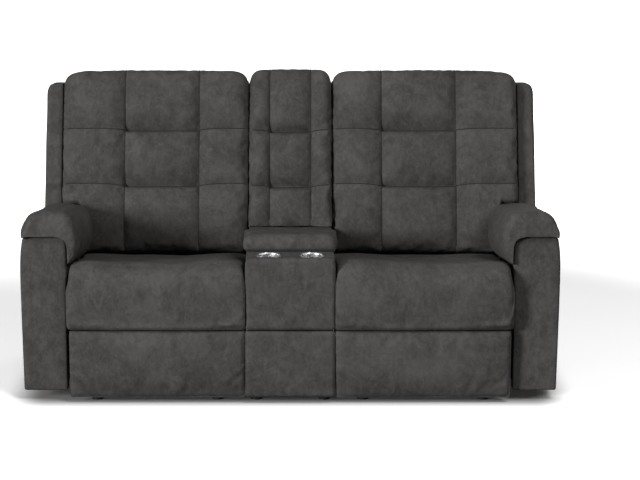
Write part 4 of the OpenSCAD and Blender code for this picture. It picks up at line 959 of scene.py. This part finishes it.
def build_console_front():
    """Two pads: the lower one upright, the upper one with its top rolled over the deck's edge. A black cord at
    each side of them fills the corner's gap as painted shade."""
    low, high = node_box("console_front_pads")
    half, front, rear = high[0] + 4.2, low[1], high[1] - 0.3
    split = SEAT_LOW[2] - 6.0
    lower, faces = slab_pad(-half, half, low[2], split, front, rear, radius=14.0, seed=51, crown=4.0)
    upper, more = slab_pad(-half, half, split + 4.0, DECK_TOP + 4.0, front, rear, radius=14.0, seed=54,
                           crown=4.0, corner=(28.0, 24.0))
    faces = faces + [[i + len(lower) for i in ring] for ring in more]
    add_cover("console", "_front_cover", np.vstack([lower, upper]), faces, "root", "_front_pads")
    # painted shade: black cords fill the gaps at the console's corners
    z = np.arange(255.0, 301.0, 5.0)
    lines = [joined(np.full_like(z, x), np.full_like(z, front + 30.0), z) for x in (-SHADE_CORD_X, SHADE_CORD_X)]
    points, faces = cord(lines, SHADE_CORD_RADIUS, 10)
    fit(make_mesh("console_corner_shade_cords", points, faces, "black_lining"), "root", [])


def build_lid():
    """The lid's padded cover, held along its bottom and thinner towards the hinge."""
    low, high = node_box("console_lid_pad")
    bottom = DECK_TOP + 2.4
    x0, x1, y0, y1, top = low[0] - 4.0, high[0] + 4.0, low[1], high[1], high[2]
    ends = (2.0, 5.0, 10.0, 18.0, 28.0)
    xs = stations(x0, x1, 10.0, ends=ends)
    ys = stations(y0, y1, 10.0, ends=ends)
    zs = stations(bottom, top, 7.0, ends=ends[:4])
    flat, faces = block_grid(xs, ys, zs)
    points = round_block(flat, (x0, y0, bottom), (x1, y1, top), ((34, 34), (30, 14), (18, 34)))
    x, y, z = points.T.copy()
    t = clamp((y - y0) / (y1 - y0))
    up = smooth((z - bottom - 15.0) / 30.0)
    wave = ripple(joined(x, y, z), 90.0, 61, 3.0)
    z = z + up * (wave - 4.0 * (np.abs(x / x1) ** 3) - 3.0 * np.abs(t * 2 - 1) ** 3)
    z = bottom + (z - bottom) * np.maximum(0.88 - 0.80 * t ** 1.4, 0.225)
    z = np.minimum(z, top + 1.0)
    held = 1 - smooth((z - bottom - 8.0) / 12.0)
    points = joined(x, y, z)
    add_cover("console", "_lid_cover", points, faces, "console_lid", "_lid_pad", held, 4.0)


def softened_copy(node, name, width, segments=3, angle=30.0, corners=None):
    """A copy of a CAD node's mesh with rounded edges, and with its top corners lowered where asked."""
    mesh = frame["nodes"][node].data.copy()
    mesh.materials.clear()
    mesh.materials.append(material("charcoal_suede"))
    piece = add_object(name, mesh)
    bpy.context.view_layer.update()
    weld = piece.modifiers.new("weld", "WELD")
    weld.merge_threshold = 0.00005
    planar = piece.modifiers.new("planar", "DECIMATE")
    planar.decimate_type = "DISSOLVE"
    planar.angle_limit = math.radians(1.0)
    bake_modifiers(piece)
    if corners:
        round_shell(piece, *corners)
    bevel = piece.modifiers.new("bevel", "BEVEL")
    bevel.width, bevel.segments = width * MM, segments
    bevel.limit_method, bevel.angle_limit = "ANGLE", math.radians(angle)
    bevel.use_clamp_overlap = True
    bake_modifiers(piece)
    piece.data.polygons.foreach_set("use_smooth", [True] * len(piece.data.polygons))
    return piece


def build_deck():
    fit(softened_copy("console_deck", "console_deck_cover", 2.0), "root", ["console_deck"])


def build_cups():
    """Two steel cups with a rolled rim, a tapered wall and a dished bottom."""
    low, high = node_box("cup_holders")
    y = (low[1] + high[1]) / 2
    top, bottom = high[2], low[2]
    wall = [(14.0, bottom + 3.0), (26.0, bottom + 1.9), (35.0, bottom + 1.6), (39.2, bottom + 4.0),
            (40.0, bottom + 10.0), (40.0, top - 6.0), (40.4, top - 2.4), (41.6, top - 0.4), (43.4, top + 0.4),
            (45.2, top - 0.2), (46.0, top - 1.4), (45.6, top - 2.2), (43.0, top - 2.3), (41.6, top - 4.0),
            (41.5, bottom + 6.0), (39.0, bottom + 0.4), (34.0, bottom)]
    rows = len(wall)
    points, faces = [], []
    for x in (-CUP_X, CUP_X):
        start = len(points)
        for i in range(CUP_SIDES):
            angle = 2 * math.pi * i / CUP_SIDES
            points += [(x + r * math.cos(angle), y + r * math.sin(angle), z) for r, z in wall]
        inner, under = len(points), len(points) + 1
        points += [(x, y, bottom + 3.2), (x, y, bottom)]
        for i in range(CUP_SIDES):
            a, b = start + i * rows, start + (i + 1) % CUP_SIDES * rows
            faces += [[a + j + 1, b + j + 1, b + j, a + j] for j in range(rows - 1)]
            faces += [[inner, b, a], [under, a + rows - 1, b + rows - 1]]
    piece = make_mesh("cup_liners", np.array(points), faces, "brushed_steel")
    fit(piece, "root", ["cup_holders"])


def round_shell(piece, x0, x1, first, last):
    """Lowers a shell's top corners at x0 and x1, given as width and fall, as its cushion falls away there."""
    mesh = bmesh.new()
    mesh.from_mesh(piece.data)
    parts = (0.06, 0.16, 0.32, 0.55, 1.0)
    for cut in [x0 + first[0] * t for t in parts] + [x1 - last[0] * t for t in parts]:
        bmesh.ops.bisect_plane(mesh, geom=mesh.verts[:] + mesh.edges[:] + mesh.faces[:],
                               plane_co=(cut * MM, 0, 0), plane_no=(1, 0, 0))
    sine, cosine = math.sin(BACK_TILT), math.cos(BACK_TILT)
    for point in mesh.verts:
        x, y, z = (c / MM for c in point.co)
        w = (y - PIVOT[1]) * sine + (z - PIVOT[2]) * cosine
        drop = corner_fall(x, x0, x1, first, last) * smooth((w - 560.0) / 150.0) * MM
        point.co.y -= drop * sine
        point.co.z -= drop * cosine
    mesh.to_mesh(piece.data)
    mesh.free()


def build_shells():
    low, high = node_box("right_back_cushion")
    mid_low, mid_high = node_box("console_back_cushion")
    inner, outer, middle = (72.0, 34.0), (110.0, 38.0), (50.0, 33.0)
    for stem, body, corners in (("left", "left_back", (-high[0], -low[0], outer, inner)),
                                ("right", "right_back", (low[0], high[0], inner, outer)),
                                ("console", "root", (mid_low[0], mid_high[0], middle, middle))):
        piece = softened_copy(stem + "_back_shell", stem + "_rear_cover", 2.5, 2, 40.0, corners)
        fit(piece, body, [stem + "_back_shell"])


FINISHES = {"frame_wood": "plywood", "mechanism_steel": "painted_steel", "bright_steel": "brushed_steel",
            "black_plastic": "moulded_black", "upholstery": "charcoal_suede"}
CLOTHED = ("console_box", "console_lid_board", "left_back_frame", "right_back_frame", "console_back_frame",
           "left_footrest_board", "right_footrest_board", "left_seat_frame", "right_seat_frame")


def dress_nodes():
    """Gives every CAD node the finish of its slot, and the clothed ones a lining."""
    slots = {item["node"]: item["material_slot"] for item in frame["record"]["subparts"]}
    for node, thing in frame["nodes"].items():
        finish = material("black_lining" if node in CLOTHED else FINISHES[slots[node]])
        if not thing.material_slots:
            thing.data.materials.append(finish)
        for holder in thing.material_slots:
            holder.link = "OBJECT"
            holder.material = finish


# Studio, in metres and watts

FLOOR_HALF = 30.0
FOOTPRINT = (0.86, 0.40, 0.0)
LAMPS = {"key": ((-9.2, -8.4, 3.4), 3.0, 1610.0),
         "above": ((2.4, -3.6, 5.0), 2.4, 186.0),
         "behind": ((3.4, 8.2, 3.2), 3.0, 110.0)}
LAMP_AIM = Vector((0.0, 0.0, 0.5))
CAMERA_AIM, CAMERA_PITCH, CAMERA_FAR = Vector((0.0, 0.0, 0.492)), math.radians(11.5), 7.4


def aim_at(thing, place, aim):
    """Puts a lamp or camera at a place and turns it to what it looks at."""
    thing.location = place
    thing.rotation_euler = (aim - Vector(place)).to_track_quat("-Z", "Y").to_euler()


def build_floor():
    """A floor with a painted shadow, dark at the loveseat's foot, that fades to white. Light that it throws back
    is dim.
    """
    s = FLOOR_HALF
    mesh = bpy.data.meshes.new("floor")
    mesh.from_pydata([(-s, -s, 0), (s, -s, 0), (s, s, 0), (-s, s, 0)], [], [(0, 1, 2, 3)])
    graph = Graph(bpy.data.materials.new("studio_floor"))
    mesh.materials.append(graph.holder)
    place = graph.place()
    # painted shadow: within a band around the footprint the floor's colour and glow are held dark
    past = graph.vector("SUBTRACT", graph.vector("ABSOLUTE", place), FOOTPRINT)
    past = graph.vector("MAXIMUM", past, (0.0, 0.0, 0.0))
    painted_shadow_fade = graph.steps(graph.vector("LENGTH", past, out=1), 0.02, 0.18)
    pale = graph.blend(graph.noise(place, 3.0, 2.0), grey(1.7), grey(1.76))
    # painted shadow at the foot: the colour drops to 0.28 there and the glow to almost nothing
    pale = graph.blend(painted_shadow_fade, grey(0.28), pale)
    far = graph.steps(graph.vector("LENGTH", place, out=1), 1.9, 3.0)
    glow = graph.blend(painted_shadow_fade, grey(0.02), graph.blend(far, grey(0.15), grey(1.2)))
    seen = graph.node("ShaderNodeAddShader", {}, graph.node("ShaderNodeBsdfDiffuse", {}, Color=pale),
                      graph.node("ShaderNodeEmission", {}, Color=glow, Strength=1.0))
    dull = graph.node("ShaderNodeBsdfDiffuse", {}, Color=grey(0.22))
    both = graph.node("ShaderNodeMixShader", {}, graph.ray("Is Camera Ray"), dull, seen)
    graph.node("ShaderNodeOutputMaterial", {}, Surface=both)
    add_object("floor", mesh)


def build_world():
    """White where the camera sees it, dim on the loveseat and brighter in its reflections."""
    scene = bpy.context.scene
    scene.view_settings.view_transform = "Standard"
    scene.world = bpy.data.worlds.new("studio")
    graph = Graph(scene.world)
    straight = 1 - (1 - graph.ray("Is Camera Ray")) * (1 - graph.ray("Is Transmission Ray"))
    dim = graph.node("ShaderNodeBackground", {}, Color=grey(1.0),
                     Strength=0.5 * graph.ray("Is Glossy Ray") + 0.095)
    white = graph.node("ShaderNodeBackground", {}, Color=grey(1.0), Strength=1.0)
    both = graph.node("ShaderNodeMixShader", {}, straight, dim, white)
    graph.node("ShaderNodeOutputWorld", {}, Surface=both)


def build_lamps():
    for name, (place, width, power) in LAMPS.items():
        data = bpy.data.lights.new(name, "AREA")
        data.size, data.energy = width, power
        aim_at(add_object(name, data), place, LAMP_AIM)


def build_camera():
    data = bpy.data.cameras.new("camera")
    data.sensor_width, data.lens, data.shift_x = 36.0, 111.7, 0.0465
    camera = add_object("camera", data)
    away = Vector((0.0, -CAMERA_FAR * math.cos(CAMERA_PITCH), CAMERA_FAR * math.sin(CAMERA_PITCH)))
    aim_at(camera, CAMERA_AIM + away, CAMERA_AIM)
    bpy.context.scene.camera = camera


# Operators

class LoveseatOperator:
    """Runs the building steps of its operator"""
    bl_options = {"REGISTER", "UNDO"}
    steps = ()

    def execute(self, context):
        for step in self.steps:
            step()
        return {"FINISHED"}


class LOVESEAT_OT_camera(LoveseatOperator, bpy.types.Operator):
    """Adds the camera at the photographed angle"""
    bl_idname = "loveseat.camera"
    bl_label = "Camera"
    steps = (build_camera,)


class LOVESEAT_OT_finishes(LoveseatOperator, bpy.types.Operator):
    """Gives the CAD parts their finishes"""
    bl_idname = "loveseat.finishes"
    bl_label = "Finishes"
    steps = (dress_nodes,)


class LOVESEAT_OT_backs(LoveseatOperator, bpy.types.Operator):
    """Builds the tufted backs, their wings and rear covers"""
    bl_idname = "loveseat.backs"
    bl_label = "Backs"
    steps = (build_backs, build_wings, build_shells)


class LOVESEAT_OT_seats(LoveseatOperator, bpy.types.Operator):
    """Builds the seat cushions and the footrest covers"""
    bl_idname = "loveseat.seats"
    bl_label = "Seats and Footrests"
    steps = (build_seats, build_footrests)


class LOVESEAT_OT_arms(LoveseatOperator, bpy.types.Operator):
    """Builds the arm covers and the arm pillows"""
    bl_idname = "loveseat.arms"
    bl_label = "Arms"
    steps = (build_arm_panels, build_arm_pads)


class LOVESEAT_OT_console(LoveseatOperator, bpy.types.Operator):
    """Builds the console's covers, its lid and the cup liners"""
    bl_idname = "loveseat.console"
    bl_label = "Console"
    steps = (build_console_front, build_deck, build_lid, build_cups)


class LOVESEAT_OT_stage(LoveseatOperator, bpy.types.Operator):
    """Adds the floor, the background and the lamps"""
    bl_idname = "loveseat.stage"
    bl_label = "Studio"
    steps = (build_floor, build_world, build_lamps)


class LOVESEAT_PT_panel(bpy.types.Panel):
    """Lists the loveseat's settings and steps"""
    bl_label = "Loveseat"
    bl_idname = "LOVESEAT_PT_panel"
    bl_space_type = "VIEW_3D"
    bl_region_type = "UI"
    bl_category = "Loveseat"

    def draw(self, context):
        for name in LoveseatSettings.__annotations__:
            self.layout.prop(context.scene.loveseat, name)
        for operator in OPERATORS:
            self.layout.operator(operator.bl_idname)


OPERATORS = (LOVESEAT_OT_camera, LOVESEAT_OT_finishes, LOVESEAT_OT_backs, LOVESEAT_OT_seats,
             LOVESEAT_OT_arms, LOVESEAT_OT_console, LOVESEAT_OT_stage)
CLASSES = (LoveseatSettings, *OPERATORS, LOVESEAT_PT_panel)


def register():
    for item in CLASSES:
        bpy.utils.register_class(item)
    bpy.types.Scene.loveseat = bpy.props.PointerProperty(type=LoveseatSettings)


def unregister():
    del bpy.types.Scene.loveseat
    for item in reversed(CLASSES):
        bpy.utils.unregister_class(item)


def main():
    register()
    for operator in OPERATORS:
        group, name = operator.bl_idname.split(".")
        getattr(getattr(bpy.ops, group), name)()


if __name__ == "__main__":
    main()
